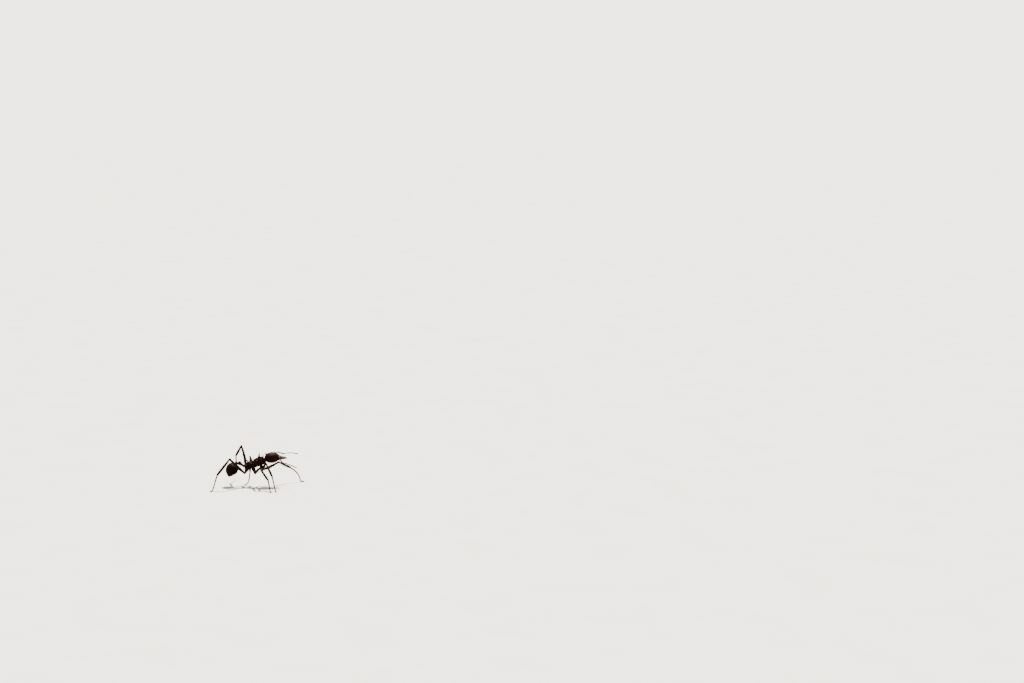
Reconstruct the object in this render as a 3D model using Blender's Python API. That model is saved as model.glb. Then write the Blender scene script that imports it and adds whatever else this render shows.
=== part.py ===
"""Leafcutter ant forager, a still life-size museum model.

Worked in millimetres as (forward, right, up), then turned so the head faces -Y
and written in metres with the origin at the middle of the footprint.
"""

import bpy
import bmesh
from math import asin, cos, exp, pi, radians, sin
from mathutils import Matrix, Vector

METRES = 0.001
RIGHT = Vector((0, 1, 0))
UP = Vector((0, 0, 1))
GAP = 0.035          # thin cut between neighbouring solids
ANYWHERE = 9.0       # beyond either end of the ant
ROUND = 10           # sides of a coxa or femur
SLIM = 10            # sides of a tibia, tarsus or feeler
FOOT_CENTRE = 0.22   # height of a resting foot's centre line
TOE = 0.55           # length of foot lying on the floor
LIMB = 0.265         # least radius of a leg or feeler
WELD = 0.002         # points nearer than this become one
FAR = 20.0           # half width of the block that trims the soles

# forward station: (upper edge, lower edge, half width) of the middle body
TRUNK = {
    -1.835: (3.54, 3.06, 0.23),
    -1.72: (3.62, 3.02, 0.30),
    -1.45: (3.98, 2.92, 0.44),
    -1.10: (4.12, 2.86, 0.50),
    -0.78: (4.06, 2.86, 0.47),
    -0.60: (4.06, 2.90, 0.44),
    -0.40: (4.30, 2.95, 0.47),
    0.00: (4.62, 3.06, 0.56),
    0.30: (4.76, 3.18, 0.61),
    0.70: (4.92, 3.32, 0.64),
    1.05: (4.92, 3.44, 0.60),
    1.35: (4.78, 3.60, 0.45),
    1.60: (4.66, 3.86, 0.30),
    2.00: (4.76, 4.26, 0.22),
}
PARTING = {  # the stretch of the middle body that each plate takes
    "propodeum": (-ANYWHERE, -0.60),
    "mesonotum": (-0.60, 0.90),
    "pronotum": (0.90, ANYWHERE),
}

# base and tip of each right-hand spine with its base radius; the left ones mirror them
SPINES = {
    "propodeum": [((-1.12, 0.26, 3.92), (-1.66, 0.44, 4.50), 0.15)],
    "mesonotum": [((0.58, 0.30, 4.60), (0.65, 0.46, 5.70), 0.25),
                  ((-0.24, 0.22, 4.26), (-0.34, 0.33, 4.76), 0.13)],
    "pronotum": [((1.18, 0.34, 4.54), (1.36, 0.66, 5.22), 0.18)],
}

HEAD_CENTRE = (2.80, 0.0, 4.74)
HEAD_SCALE = 1.08    # the head's own measures below are given at 1.0
HEAD_PITCH = 4.0
HEAD_FRONT = 1.15
HEAD_HALF_WIDTH = 1.18
HEAD_HALF_DEPTH = 0.84
EYE = ((0.02, 1.04, 0.14), (0.19, 0.15, 0.17))               # place in the head, half lengths
LOBE = ((0.52, 0.20, 0.50), (0.40, 0.13, 0.17))              # the ridge over each feeler's socket
HEAD_SPINE = ((-0.92, 0.60, 0.44), (-1.14, 0.74, 0.80), 0.13)  # base, tip, base radius
MANDIBLE_DROOP = -10.0
MANDIBLE_HINGE = (1.00, 0.0, -0.08)
MANDIBLE_TIP = (2.30, 0.15, 0.0)

# forward station in the head: (outer edge, inner edge, half thickness) of a mandible
MANDIBLE = {
    0.85: (0.80, 0.32, 0.26),
    1.15: (0.80, 0.28, 0.25),
    1.40: (0.77, 0.17, 0.21),
    1.62: (0.69, 0.12, 0.18),
    1.85: (0.55, 0.10, 0.15),
    2.06: (0.38, 0.09, 0.12),
    2.20: (0.22, 0.09, 0.10),
}
TEETH = 6
FIRST_TOOTH = 1.48
TEETH_SPAN = 0.66

PETIOLE = {  # forward station: (upper edge, lower edge, half width)
    -1.87: (3.54, 3.06, 0.23),
    -2.12: (3.74, 3.18, 0.23),
    -2.30: (3.94, 3.30, 0.26),
    -2.50: (4.16, 3.42, 0.32),
    -2.72: (4.20, 3.50, 0.35),
    -2.93: (4.05, 3.55, 0.27),
}
# along the waist's last knot: (forward, up, pitch of the ring, half height, half width)
POSTPETIOLE = [
    (-2.965, 3.80, 0, 0.24, 0.27),
    (-3.04, 3.84, -8, 0.30, 0.40),
    (-3.16, 3.84, -24, 0.33, 0.47),
    (-3.27, 3.77, -40, 0.28, 0.40),
    (-3.34, 3.69, -54, 0.20, 0.28),
]
GASTER_START = (-3.36, 3.68)
GASTER_PITCH = -62.0
GASTER = {  # distance along the gaster: (height above, depth below, half width)
    0.00: (0.20, 0.20, 0.27),
    0.04: (0.52, 0.48, 0.54),
    0.10: (0.74, 0.67, 0.75),
    0.26: (0.94, 0.82, 0.94),
    0.50: (1.05, 0.91, 1.06),
    0.85: (1.11, 0.93, 1.12),
    1.25: (1.08, 0.85, 1.09),
    1.60: (0.98, 0.70, 0.97),
    1.88: (0.79, 0.52, 0.79),
    2.10: (0.53, 0.36, 0.55),
    2.25: (0.29, 0.21, 0.32),
}
GASTER_LENGTH = 2.36
KNOT_MIDDLE = (-3.15, 0, 3.79)
KNOT_ROOM = 1.10     # how much larger than the last knot the hollow in the gaster is

LEGS = {
    "front": dict(base=(0.85, 0.38, 3.70), coxa=1.20, femur=3.15, tibia=2.55, tarsus=3.48),
    "middle": dict(base=(-0.50, 0.38, 3.30), coxa=1.25, femur=3.30, tibia=2.70, tarsus=2.90),
    "hind": dict(base=(-1.15, 0.36, 3.25), coxa=1.25, femur=4.00, tibia=3.40, tarsus=3.30),
}
# (turn from straight ahead towards its own side, rise) of each length, the foot's turn,
# the thigh's bow, and the arch of a foot that reaches over something
POSE = {
    "front_r": dict(coxa=(49, -72), femur=(77, 34), tibia=(44, -56), tarsus=76, bow=(0, 0, 0.10)),
    "middle_r": dict(coxa=(16, -70), femur=(75, 24), tibia=(49, -40.5), tarsus=80, bow=(0, 0, 0.10)),
    "hind_r": dict(coxa=(152, -53), femur=(145, 42), tibia=(149, -45), tarsus=123, bow=(0, 0.05, -0.05)),
    "front_l": dict(coxa=(49, -76), femur=(17, 21), tibia=(33, -26), tarsus=6, bow=(0, 0, -0.10),
                    arch=(0.30, 0, 0.12)),
    "middle_l": dict(coxa=(33, -68), femur=(109, 44), tibia=(94, -76), tarsus=96, bow=(0, 0, 0.10)),
    "hind_l": dict(coxa=(120, -33), femur=(122, 72), tibia=(110, -37), tarsus=85, bow=(0.20, 0, 0)),
}
LIFTED = {"hind_l": (-80, -50)}  # rise of a raised foot's two lengths
COXA_RADII = [0.31, 0.36, 0.28, LIMB]
FEMUR_RADII = [LIMB, 0.285, 0.285, 0.27]
TIBIA_RADII = [0.268, 0.285, LIMB]

FEELERS = {  # socket in the head, then elbow and tip in the body's frame
    "r": dict(socket=(0.52, 0.42, 0.52), elbow=(4.40, 2.00, 4.20), tip=(6.85, 1.75, 3.15), sag=0.10),
    "l": dict(socket=(0.52, -0.42, 0.52), elbow=(4.72, -1.85, 5.05), tip=(7.15, -1.55, 5.00), sag=0.14),
}

TONES = {
    "body_shell": (0.105, 0.028, 0.012),
    "gaster_shell": (0.035, 0.016, 0.010),
    "leg_shell": (0.190, 0.070, 0.024),
    "jaw_shell": (0.060, 0.018, 0.008),
    "eye_shell": (0.010, 0.008, 0.008),
}


def blender_place(p):
    return Vector((-p[1], -p[0], p[2]))


def heading(turn, rise, side):
    t, r = radians(turn), radians(rise)
    return Vector((cos(r) * cos(t), side * cos(r) * sin(t), sin(r)))


def make(name, verts, faces):
    mesh = bpy.data.meshes.new(name)
    mesh.from_pydata([blender_place(v) for v in verts], [], faces)
    bm = bmesh.new()
    bm.from_mesh(mesh)
    bmesh.ops.recalc_face_normals(bm, faces=bm.faces)
    bm.to_mesh(mesh)
    bm.free()
    obj = bpy.data.objects.new(name, mesh)
    bpy.context.scene.collection.objects.link(obj)
    return obj


def skin_rings(name, rings):
    """A closed solid through rings of points; a ring of one point closes an end."""
    verts, faces, starts = [], [], []
    for r in rings:
        starts.append(len(verts))
        verts += r
    for i in range(len(rings) - 1):
        a, b, m, n = starts[i], starts[i + 1], len(rings[i]), len(rings[i + 1])
        for j in range(max(m, n)):
            k = (j + 1) % max(m, n)
            if m == 1:
                faces.append((a, b + k, b + j))
            elif n == 1:
                faces.append((a + j, a + k, b))
            else:
                faces.append((a + j, a + k, b + k, b + j))
    for i, flip in ((0, True), (len(rings) - 1, False)):
        if len(rings[i]) > 1:
            cap = [starts[i] + j for j in range(len(rings[i]))]
            faces.append(tuple(reversed(cap)) if flip else tuple(cap))
    return make(name, verts, faces)


def oval(centre, side, up, half_width, above, below, count, squareness=1.0):
    """A ring whose upper and lower halves may differ; squareness under 1 fills out its corners."""
    points = []
    for i in range(count):
        c, s = cos(2 * pi * i / count), sin(2 * pi * i / count)
        x = half_width * (1 if c >= 0 else -1) * abs(c) ** squareness
        y = (above if s >= 0 else below) * (1 if s >= 0 else -1) * abs(s) ** squareness
        points.append(centre + side * x + up * y)
    return points


def circle(centre, side, up, radius, count):
    return oval(centre, side, up, radius, radius, radius, count)


def limb(name, path, radii, sides, grow=0.0):
    """A round-ended tube along a path of (forward, right, up) places."""
    path = [Vector(p) for p in path]
    rings = []
    last = len(path) - 1
    for i, p in enumerate(path):
        ahead = (path[i + 1] - p if i < last else p - path[i - 1]).normalized()
        behind = (p - path[i - 1]).normalized() if i else ahead
        axis = (ahead + behind).normalized()
        side = axis.cross(Vector((0.31, 0.17, 0.93))).normalized()
        up = side.cross(axis).normalized()
        r = radii[i] + grow
        dome = [(r * sin(radians(a)), r * cos(radians(a))) for a in (35, 65)]
        if i == 0:
            rings.append([p - axis * r])
            rings += [circle(p - axis * back, side, up, small, sides) for back, small in reversed(dome)]
        rings.append(circle(p, side, up, r, sides))
        if i == last:
            rings += [circle(p + axis * on, side, up, small, sides) for on, small in dome]
            rings.append([p + axis * r])
    return skin_rings(name, rings)


def combine(obj, tool, operation):
    mod = obj.modifiers.new(operation.lower(), "BOOLEAN")
    mod.operation = operation
    mod.solver = "EXACT"
    mod.object = tool
    bpy.context.view_layer.update()
    mesh = bpy.data.meshes.new_from_object(obj.evaluated_get(bpy.context.evaluated_depsgraph_get()))
    obj.modifiers.clear()
    obj.data = mesh
    mesh.name = obj.name
    bpy.data.objects.remove(tool)
    return obj


def carve(obj, tool):
    return combine(obj, tool, "DIFFERENCE")


def join(obj, tool):
    return combine(obj, tool, "UNION")


def cone(name, base, tip, radius, sides=8):
    base, tip = Vector(base), Vector(tip)
    axis = (tip - base).normalized()
    side = axis.cross(Vector((0.9, 0.1, 0.2))).normalized()
    up = side.cross(axis)
    taper = ((0, 1.0), (0.35, 0.62), (0.7, 0.36), (0.97, 0.14))  # share of the length, share of the radius
    rings = [circle(base.lerp(tip, t), side, up, radius * w, sides) for t, w in taper]
    return skin_rings(name, rings)


def ball(name, centre, radii, rings=7, sides=12):
    along, across, up = radii
    loops = []
    for i in range(rings + 1):
        a = -pi / 2 + pi * i / rings
        middle = centre + Vector((along * sin(a), 0, 0))
        wide, high = across * cos(a), up * cos(a)
        loops.append([middle] if i in (0, rings) else oval(middle, RIGHT, UP, wide, high, high, sides))
    return skin_rings(name, loops)


def slab(name, low, high):
    (x0, y0, z0), (x1, y1, z1) = low, high
    verts = [Vector((x, y, z)) for x in (x0, x1) for y in (y0, y1) for z in (z0, z1)]
    faces = [(0, 1, 3, 2), (4, 6, 7, 5), (0, 4, 5, 1), (2, 3, 7, 6), (0, 2, 6, 4), (1, 5, 7, 3)]
    return make(name, verts, faces)


def between(table, x):
    """The row of a station table at x, straight between its stations."""
    keys = sorted(table)
    x = min(max(x, keys[0]), keys[-1])
    for a, b in zip(keys, keys[1:]):
        if x <= b:
            t = (x - a) / (b - a)
            return tuple(p + (q - p) * t for p, q in zip(table[a], table[b]))


def upright_ring(station, row, waist, count, squareness=1.0, grow=0.0):
    """An upright ring whose widest point is at the waist, as a share of its height."""
    top, bottom, width = row
    middle = bottom + (top - bottom) * waist
    above, below = top - middle + grow, middle - bottom + grow
    return oval(Vector((station, 0, middle)), RIGHT, UP, width + grow, above, below, count, squareness)


def trunk_rings(start=-ANYWHERE, end=ANYWHERE, grow=0.0):
    first, last = max(start, min(TRUNK)), min(end, max(TRUNK))
    inner = [k for k in sorted(TRUNK) if first + 0.02 < k < last - 0.02]
    return [upright_ring(k, between(TRUNK, k), 0.48, 20, 0.9, grow) for k in (first, *inner, last)]


def in_head(p):
    turn = Matrix.Rotation(radians(-HEAD_PITCH), 3, "Y")
    return Vector(HEAD_CENTRE) + turn @ (HEAD_SCALE * Vector(p))


def head_edges(w):
    """Front and rear edge of the heart-shaped plan, at w out from its middle line."""
    front = HEAD_FRONT - 1.25 * max(0.0, (w - 0.62) / 0.54) ** 1.6
    if w < 0.60:
        return front, -0.95 - 0.27 * exp(-(((w - 0.60) / 0.30) ** 2))
    return front, -1.22 + 0.62 * ((w - 0.60) / 0.54) ** 2


def head_shell(name, grow=0.0, slices=15, count=20):
    """Slices from cheek to cheek, with a point on each cheek."""
    loops = [[in_head((-0.34, -HEAD_HALF_WIDTH - grow, 0.0))]]
    for i in range(slices):
        x = (HEAD_HALF_WIDTH - 0.04) * sin(pi / 2 * (2 * i / (slices - 1) - 1))
        w = abs(x)
        front, rear = head_edges(w)
        depth = HEAD_HALF_DEPTH * (1 - (w / 1.26) ** 2.6) ** 0.5
        loop = []
        for j in range(count):
            a = 2 * pi * j / count
            c, s = cos(a), sin(a)
            along = (front + rear) / 2 + ((front - rear) / 2 + grow) * (1 if c >= 0 else -1) * abs(c) ** 0.85
            share = (along - rear) / (front - rear)
            taper = 1.0 - 0.42 * max(0.0, share - 0.35) ** 1.5
            loop.append(in_head((along, x * (1 + grow / HEAD_HALF_WIDTH), (depth * taper + grow) * s - 0.02)))
        loops.append(loop)
    loops.append([in_head((-0.34, HEAD_HALF_WIDTH + grow, 0.0))])
    return skin_rings(name, loops)


def mirrored(p, side):
    return (p[0], side * p[1], p[2])


def eye_ball(name, side, grow=0.0):
    place, radii = EYE
    return ball(name, in_head(mirrored(place, side)), [r + grow for r in radii], rings=8, sides=14)


def lobe(name, side, grow=0.0):
    place, radii = LOBE
    return ball(name, in_head(mirrored(place, side)), [r + grow for r in radii])


def build_trunk():
    parts = []
    for name, (start, end) in PARTING.items():
        a = start + GAP / 2 if start > -ANYWHERE else start
        b = end - GAP / 2 if end < ANYWHERE else end
        parts.append(skin_rings(name, trunk_rings(a, b)))
        for side in (-1, 1):
            for base, tip, radius in SPINES[name]:
                join(parts[-1], cone("spine", mirrored(base, side), mirrored(tip, side), radius))
    return parts


def build_head():
    head = head_shell("head")
    for side in (-1, 1):
        join(head, lobe("lobe", side))
        base, tip, radius = HEAD_SPINE
        join(head, cone("spine", in_head(mirrored(base, side)), in_head(mirrored(tip, side)), radius))
    eyes = []
    for side, tag in ((1, "r"), (-1, "l")):
        carve(head, eye_ball("socket", side, GAP))
        eyes.append(eye_ball("eye_" + tag, side))
    return head, eyes


def build_mandible(side, tag):
    hinge = Vector(MANDIBLE_HINGE)
    droop = Matrix.Rotation(radians(-MANDIBLE_DROOP), 3, "Y")

    def place(along, across, up):
        return in_head(hinge + droop @ Vector((along - hinge.x, side * across, up)))

    loops = []
    sides = 14
    for along, (outer, inner, thick) in MANDIBLE.items():
        mid, half = (outer + inner) / 2, (outer - inner) / 2
        loop = []
        for i in range(sides):
            c, s = cos(2 * pi * i / sides), sin(2 * pi * i / sides)
            loop.append(place(along, mid + half * c, thick * s * (1.0 + 0.25 * c)))
        loops.append(loop)
    loops.append([place(*MANDIBLE_TIP)])
    jaw = skin_rings("mandible_" + tag, loops)
    for i in range(TEETH):
        t = i / (TEETH - 1)
        along = FIRST_TOOTH + TEETH_SPAN * t
        root = 0.17 - 0.03 * t
        join(jaw, cone("tooth", place(along, root, 0), place(along + 0.03, 0.03, 0), 0.065 + 0.015 * t, 6))
    carve(jaw, head_shell("room", GAP))
    return jaw


def build_waist():
    rings = [upright_ring(k, row, 0.45, 16) for k, row in PETIOLE.items()]
    petiole = skin_rings("petiole", rings)
    knot = []
    for forward, up, pitch, high, wide in POSTPETIOLE:
        lift = Vector((sin(radians(pitch)), 0, cos(radians(pitch))))
        knot.append(oval(Vector((forward, 0, up)), RIGHT, lift, wide, high, high, 16))
    post = skin_rings("postpetiole", knot)
    r = radians(GASTER_PITCH)
    axis, lift = Vector((-cos(r), 0, sin(r))), Vector((sin(r), 0, cos(r)))
    start = Vector((GASTER_START[0], 0, GASTER_START[1])) + axis * GAP
    loops = [oval(start + axis * s, RIGHT, lift, wide, above, below, 24)
             for s, (above, below, wide) in GASTER.items()]
    loops.append([start + axis * GASTER_LENGTH])
    gaster = skin_rings("gaster", loops)
    middle = Vector(KNOT_MIDDLE)
    carve(gaster, skin_rings("room", [[middle + (p - middle) * KNOT_ROOM for p in ring] for ring in knot]))
    return petiole, post, gaster


def leg_places(pair, tag):
    """Joint places of one leg from its lengths and turns."""
    side = 1 if tag == "r" else -1
    size, turn = LEGS[pair], POSE[pair + "_" + tag]
    at = Vector(size["base"])
    at.y *= side
    places = [at.copy()]
    for part in ("coxa", "femur", "tibia"):
        at = at + size[part] * heading(*turn[part], side)
        places.append(at.copy())
    shank = size["tarsus"] - TOE
    if pair + "_" + tag in LIFTED:
        rises = LIFTED[pair + "_" + tag]
    else:
        rises = (-asin((at.z - FOOT_CENTRE) / shank) * 180 / pi, 0.0)
    for length, rise in ((shank, rises[0]), (TOE, rises[1])):
        at = at + length * heading(turn["tarsus"], rise, side)
        places.append(at.copy())
    return places


def build_leg(pair, tag):
    name = pair + "_" + tag
    hip, knee_in, knee, ankle, heel, toe = leg_places(pair, tag)
    bow = Vector(POSE[name]["bow"])
    thigh = [knee_in, knee_in.lerp(knee, 0.3) + bow * 0.85, knee_in.lerp(knee, 0.65) + bow * 0.9, knee]
    arch = Vector(POSE[name].get("arch", (0, 0, 0)))
    step = [ankle.lerp(heel, 0.35) + arch, ankle.lerp(heel, 0.7) + arch * 0.9] if arch.length else []
    sole = [ankle] + step + [heel, toe]
    shapes = {
        "coxa": ([hip, hip.lerp(knee_in, 0.45), hip.lerp(knee_in, 0.8), knee_in], COXA_RADII, ROUND),
        "femur": (thigh, FEMUR_RADII, ROUND),
        "tibia": ([knee, knee.lerp(ankle, 0.5), ankle], TIBIA_RADII, SLIM),
        "tarsus": (sole, [LIMB] * len(sole), SLIM),
    }
    if name not in LIFTED:
        print("foot", name, [round(x, 3) for x in blender_place(heel.lerp(toe, 0.5))])
    made = []
    before = None
    for part, (path, radii, sides) in shapes.items():
        node = limb(part + "_" + name, path, radii, sides)
        if part == "coxa":
            carve(node, skin_rings("room", trunk_rings(grow=GAP)))
        else:
            old_path, old_radii, old_sides = before
            carve(node, limb("room", old_path, old_radii, old_sides, GAP))
        if part == "tarsus" and name not in LIFTED:
            carve(node, slab("floor", (-FAR, -FAR, -FAR), (FAR, FAR, 0)))
        made.append(node)
        before = (path, radii, sides)
    return made


def build_feeler(tag):
    spec = FEELERS[tag]
    socket, elbow, tip = in_head(spec["socket"]), Vector(spec["elbow"]), Vector(spec["tip"])
    mid = elbow.lerp(tip, 0.5) + Vector((0, 0, spec["sag"]))
    rising = socket.lerp(elbow, 0.2) + Vector((0, 0, 0.12))
    upper = [socket, rising, socket.lerp(elbow, 0.5) + Vector((0.06, 0, 0.07)), elbow]
    scape = limb("scape_" + tag, upper, [LIMB] * 4, SLIM)
    carve(scape, head_shell("room", GAP))
    carve(scape, lobe("room", 1 if tag == "r" else -1, GAP))
    whip = limb("funiculus_" + tag, [elbow, mid, tip], [LIMB] * 3, SLIM)
    carve(whip, limb("room", upper, [LIMB] * 4, SLIM, GAP))
    return scape, whip


def keep_largest(obj):
    """Drops crumbs that a cut left loose, and welds points that all but touch."""
    bm = bmesh.new()
    bm.from_mesh(obj.data)
    bmesh.ops.remove_doubles(bm, verts=bm.verts, dist=WELD)
    bmesh.ops.dissolve_degenerate(bm, edges=bm.edges, dist=WELD)
    left, groups = set(bm.verts), []
    while left:
        todo, group = [left.pop()], set()
        while todo:
            v = todo.pop()
            group.add(v)
            for e in v.link_edges:
                w = e.other_vert(v)
                if w in left:
                    left.discard(w)
                    todo.append(w)
        groups.append(group)
    groups.sort(key=len)
    for group in groups[:-1]:
        bmesh.ops.delete(bm, geom=list(group), context="VERTS")
    bmesh.ops.triangulate(bm, faces=bm.faces)
    bm.to_mesh(obj.data)
    bm.free()


def tone(name):
    colour = TONES[name]
    mat = bpy.data.materials.get(name) or bpy.data.materials.new(name)
    mat.use_nodes = True
    shader = mat.node_tree.nodes["Principled BSDF"]
    shader.inputs["Base Color"].default_value = (*colour, 1.0)
    shader.inputs["Roughness"].default_value = 0.38
    return mat


def main():
    for old in list(bpy.data.objects):
        bpy.data.objects.remove(old)
    plates = build_trunk()
    head, eyes = build_head()
    carve(plates[-1], head_shell("room", GAP))
    petiole, post, gaster = build_waist()
    groups = {
        "body_shell": plates + [head, petiole, post],
        "eye_shell": eyes,
        "gaster_shell": [gaster],
        "jaw_shell": [],
        "leg_shell": [],
    }
    for side, tag in ((1, "r"), (-1, "l")):
        groups["jaw_shell"].append(build_mandible(side, tag))
        groups["leg_shell"] += build_feeler(tag)
        for pair in LEGS:
            groups["leg_shell"] += build_leg(pair, tag)
    nodes = [(o, shade) for shade, objs in groups.items() for o in objs]
    for obj, shade in nodes:
        keep_largest(obj)
    corners = [v.co for o, _ in nodes for v in o.data.vertices]
    low = Vector([min(c[i] for c in corners) for i in range(3)])
    high = Vector([max(c[i] for c in corners) for i in range(3)])
    shift = Matrix.Translation((-(low.x + high.x) / 2, -(low.y + high.y) / 2, 0.0))
    home = bpy.data.collections.new("leafcutter_ant")
    bpy.context.scene.collection.children.link(home)
    total = 0
    for obj, shade in nodes:
        obj.data.transform(Matrix.Scale(METRES, 4) @ shift)
        obj.data.materials.clear()
        obj.data.materials.append(tone(shade))
        bpy.context.scene.collection.objects.unlink(obj)
        home.objects.link(obj)
        total += len(obj.data.polygons)
    print("shift mm", shift.translation, "size", high - low, "low z", low.z)
    print("nodes", len(nodes), "triangles", total)


main()
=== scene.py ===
from math import asin, copysign, cos, degrees, exp, pi, radians, sin, tau
import bmesh
import bpy
import numpy as np
from mathutils import Matrix, Vector


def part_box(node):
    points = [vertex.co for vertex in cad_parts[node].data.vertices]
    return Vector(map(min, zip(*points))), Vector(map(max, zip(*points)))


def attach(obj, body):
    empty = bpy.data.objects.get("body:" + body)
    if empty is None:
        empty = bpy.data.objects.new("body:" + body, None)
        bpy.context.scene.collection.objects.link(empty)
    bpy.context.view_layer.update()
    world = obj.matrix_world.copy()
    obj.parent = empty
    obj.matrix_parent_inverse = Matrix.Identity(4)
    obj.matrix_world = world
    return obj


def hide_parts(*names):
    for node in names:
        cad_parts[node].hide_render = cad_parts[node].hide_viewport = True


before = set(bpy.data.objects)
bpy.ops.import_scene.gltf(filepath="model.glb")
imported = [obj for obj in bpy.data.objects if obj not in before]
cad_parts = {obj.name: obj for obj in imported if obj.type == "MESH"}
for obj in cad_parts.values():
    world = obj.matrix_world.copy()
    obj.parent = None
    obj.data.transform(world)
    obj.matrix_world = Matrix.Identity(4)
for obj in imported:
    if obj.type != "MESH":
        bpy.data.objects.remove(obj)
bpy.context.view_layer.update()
metres = 0.001  # every shape is worked in millimetres, then written in metres
bothSides = (("r", 1), ("l", -1))

# places are (forward, right, up) in millimetres, the head towards -Y
head = {
    "centre": (2.8, 0.0, 4.74), "scale": 1.08, "pitch": 4.0,
    "front": 1.15, "halfWidth": 1.18, "halfDepth": 0.84, "slices": 80, "around": 100,
    "inset": 0.022, "voxel": 0.0175, "relax": 3,
    "spines": [((-0.9, 0.58, 0.46), (-1.13, 0.735, 0.79), 0.1, 0.03),
               ((-0.55, 0.84, 0.46), (-0.63, 0.97, 0.6), 0.06, 0.02)],  # base, tip, radius, bow
    "marks": {  # rise in millimetres, and how much painted shade darkens it
        "socketRoof": (0.062, 0.0), "socketRidge": (0.02, 0.0), "frontFurrow": (-0.04, 0.7),
        "feelerPit": (-0.11, 0.75), "shieldEdge": (-0.026, 0.8), "browDent": (-0.022, 0.5),
        "eyeRim": (-0.022, 0.6), "browRidge": (0.03, 0.0), "throatLine": (-0.026, 0.7),
        "mouthRim": (0.026, 0.0), "mouthPit": (-0.12, 0.9), "neckRing": (0.024, 0.0),
        "cheekLines": (0.0052, 0.0), "crownWrinkles": (0.0034, 0.0), "grain": (0.0026, 0.0),
        "swell": (0.008, 0.0), "shieldCrown": (0.014, 0.0)},
}
eyes = {
    "at": (0.02, 1.04, 0.14), "radii": (0.185, 0.145, 0.165), "facetRise": 0.007,
    "dome": [(0.55, 0.84), (0.3, 0.74), (0.15, 0.5)],  # share of the rise, and how far each step draws in
}


def direction(p):
    return Vector((-p[1], -p[0], p[2]))


def inHead(p):
    tilt = Matrix.Rotation(radians(-head["pitch"]), 3, "Y")
    return Vector(head["centre"]) + tilt @ (head["scale"] * Vector(p))


eyeLow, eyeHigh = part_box("eye_r")  # the frame's right eye says how far the plan is shifted
planShift = (Vector(eyeLow) + Vector(eyeHigh)) / (2 * metres) - direction(inHead(eyes["at"]))
planShift.z = 0.0


def spot(p):
    return direction(p) + planShift


def headSpot(p):
    return spot(inHead(p))


def heading(turn, rise, side=1):
    t, r = radians(turn), radians(rise)
    return Vector((cos(r) * cos(t), side * cos(r) * sin(t), sin(r)))


def bodySpace(mesh):
    points = pointsOf(mesh)
    return np.column_stack((planShift.y - points[:, 1], planShift.x - points[:, 0], points[:, 2]))


def headSpace(mesh):
    x, y, z = ((bodySpace(mesh) - np.array(head["centre"])) / head["scale"]).T
    a = radians(head["pitch"])
    return np.column_stack((x * cos(a) + z * sin(a), y, z * cos(a) - x * sin(a)))


def unit(x):
    return np.clip(x, 0, 1)


def ramp(x, start, width, low=0):
    # from 0 at the start to 1 a width further on, the other way where the width is negative
    return np.clip((x - start) / width, low, 1)


def bell(d, width):
    return np.exp(-((d / width) ** 2))


def grit(points, size, seed=0.0):
    # cheap smooth variation from a few crossed waves
    x, y, z = (points / size + seed).T
    waves = (np.sin(x * 1.7 + 1.3 * np.sin(y * 1.1)), np.sin(y * 2.1 + 1.7 * np.sin(z * 0.9)),
             np.sin(z * 1.9 + 1.1 * np.sin(x * 1.3)))
    return sum(waves) / 3


def smoothRow(rows, x):
    # a smooth curve through the rows, read at x
    keys = sorted(rows)
    i = min(max(int(np.searchsorted(keys, x)) - 1, 0), len(keys) - 2)
    a, b = keys[i], keys[i + 1]
    before, after = keys[max(i - 1, 0)], keys[min(i + 2, len(keys) - 1)]
    t = min(max((x - a) / (b - a), 0.0), 1.0)
    pa, pb = np.array(rows[a]), np.array(rows[b])
    ma = (pb - np.array(rows[before])) / (b - before) * (b - a)
    mb = (np.array(rows[after]) - pa) / (after - a) * (b - a)
    near, far = 2 * t**3 - 3 * t**2 + 1, 3 * t**2 - 2 * t**3
    return pa * near + ma * (t**3 - 2 * t**2 + t) + pb * far + mb * (t**3 - t**2)


def smoothPath(points, count):
    points = [Vector(p) for p in points]
    ends = [points[0] * 2 - points[1]] + points + [points[-1] * 2 - points[-2]]
    lengths = [0.0]
    for a, b in zip(points, points[1:]):
        lengths.append(lengths[-1] + (b - a).length)
    path = []
    for i in range(count):
        s = lengths[-1] * i / (count - 1)
        k = min(max(int(np.searchsorted(lengths, s, side="right")) - 1, 0), len(points) - 2)
        t = (s - lengths[k]) / (lengths[k + 1] - lengths[k])
        p0, p1, p2, p3 = ends[k : k + 4]
        square, cube = 2 * p0 - 5 * p1 + 4 * p2 - p3, 3 * p1 - 3 * p2 + p3 - p0
        path.append(0.5 * (2 * p1 + (p2 - p0) * t + square * t * t + cube * t**3))
    return path


def circle(count):
    return [(cos(tau * j / count), sin(tau * j / count)) for j in range(count)]


def outward(mesh):
    bm = bmesh.new()
    bm.from_mesh(mesh)
    bmesh.ops.recalc_face_normals(bm, faces=bm.faces)
    bm.to_mesh(mesh)
    bm.free()
    return mesh


def newMesh(verts, faces=(), edges=()):
    mesh = bpy.data.meshes.new("shape")
    mesh.from_pydata(verts, edges, faces, shade_flat=False)
    return mesh


def meshFrom(rings):
    # a closed skin over rings of equal count, where an end may be a single point
    verts = [v for r in rings for v in r]
    sizes = [len(r) for r in rings]
    faces, start = [], 0
    for m, n in zip(sizes, sizes[1:]):
        for j in range(max(m, n)):
            k = (j + 1) % max(m, n)
            corners = start + j % m, start + k % m, start + m + k % n, start + m + j % n
            faces.append(tuple(dict.fromkeys(corners)))  # a single point counts once
        start += m
    if sizes[0] > 1:
        faces.append(tuple(range(sizes[0])))
    if sizes[-1] > 1:
        faces.append(tuple(range(start, len(verts))))
    return outward(newMesh(verts, faces))


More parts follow.
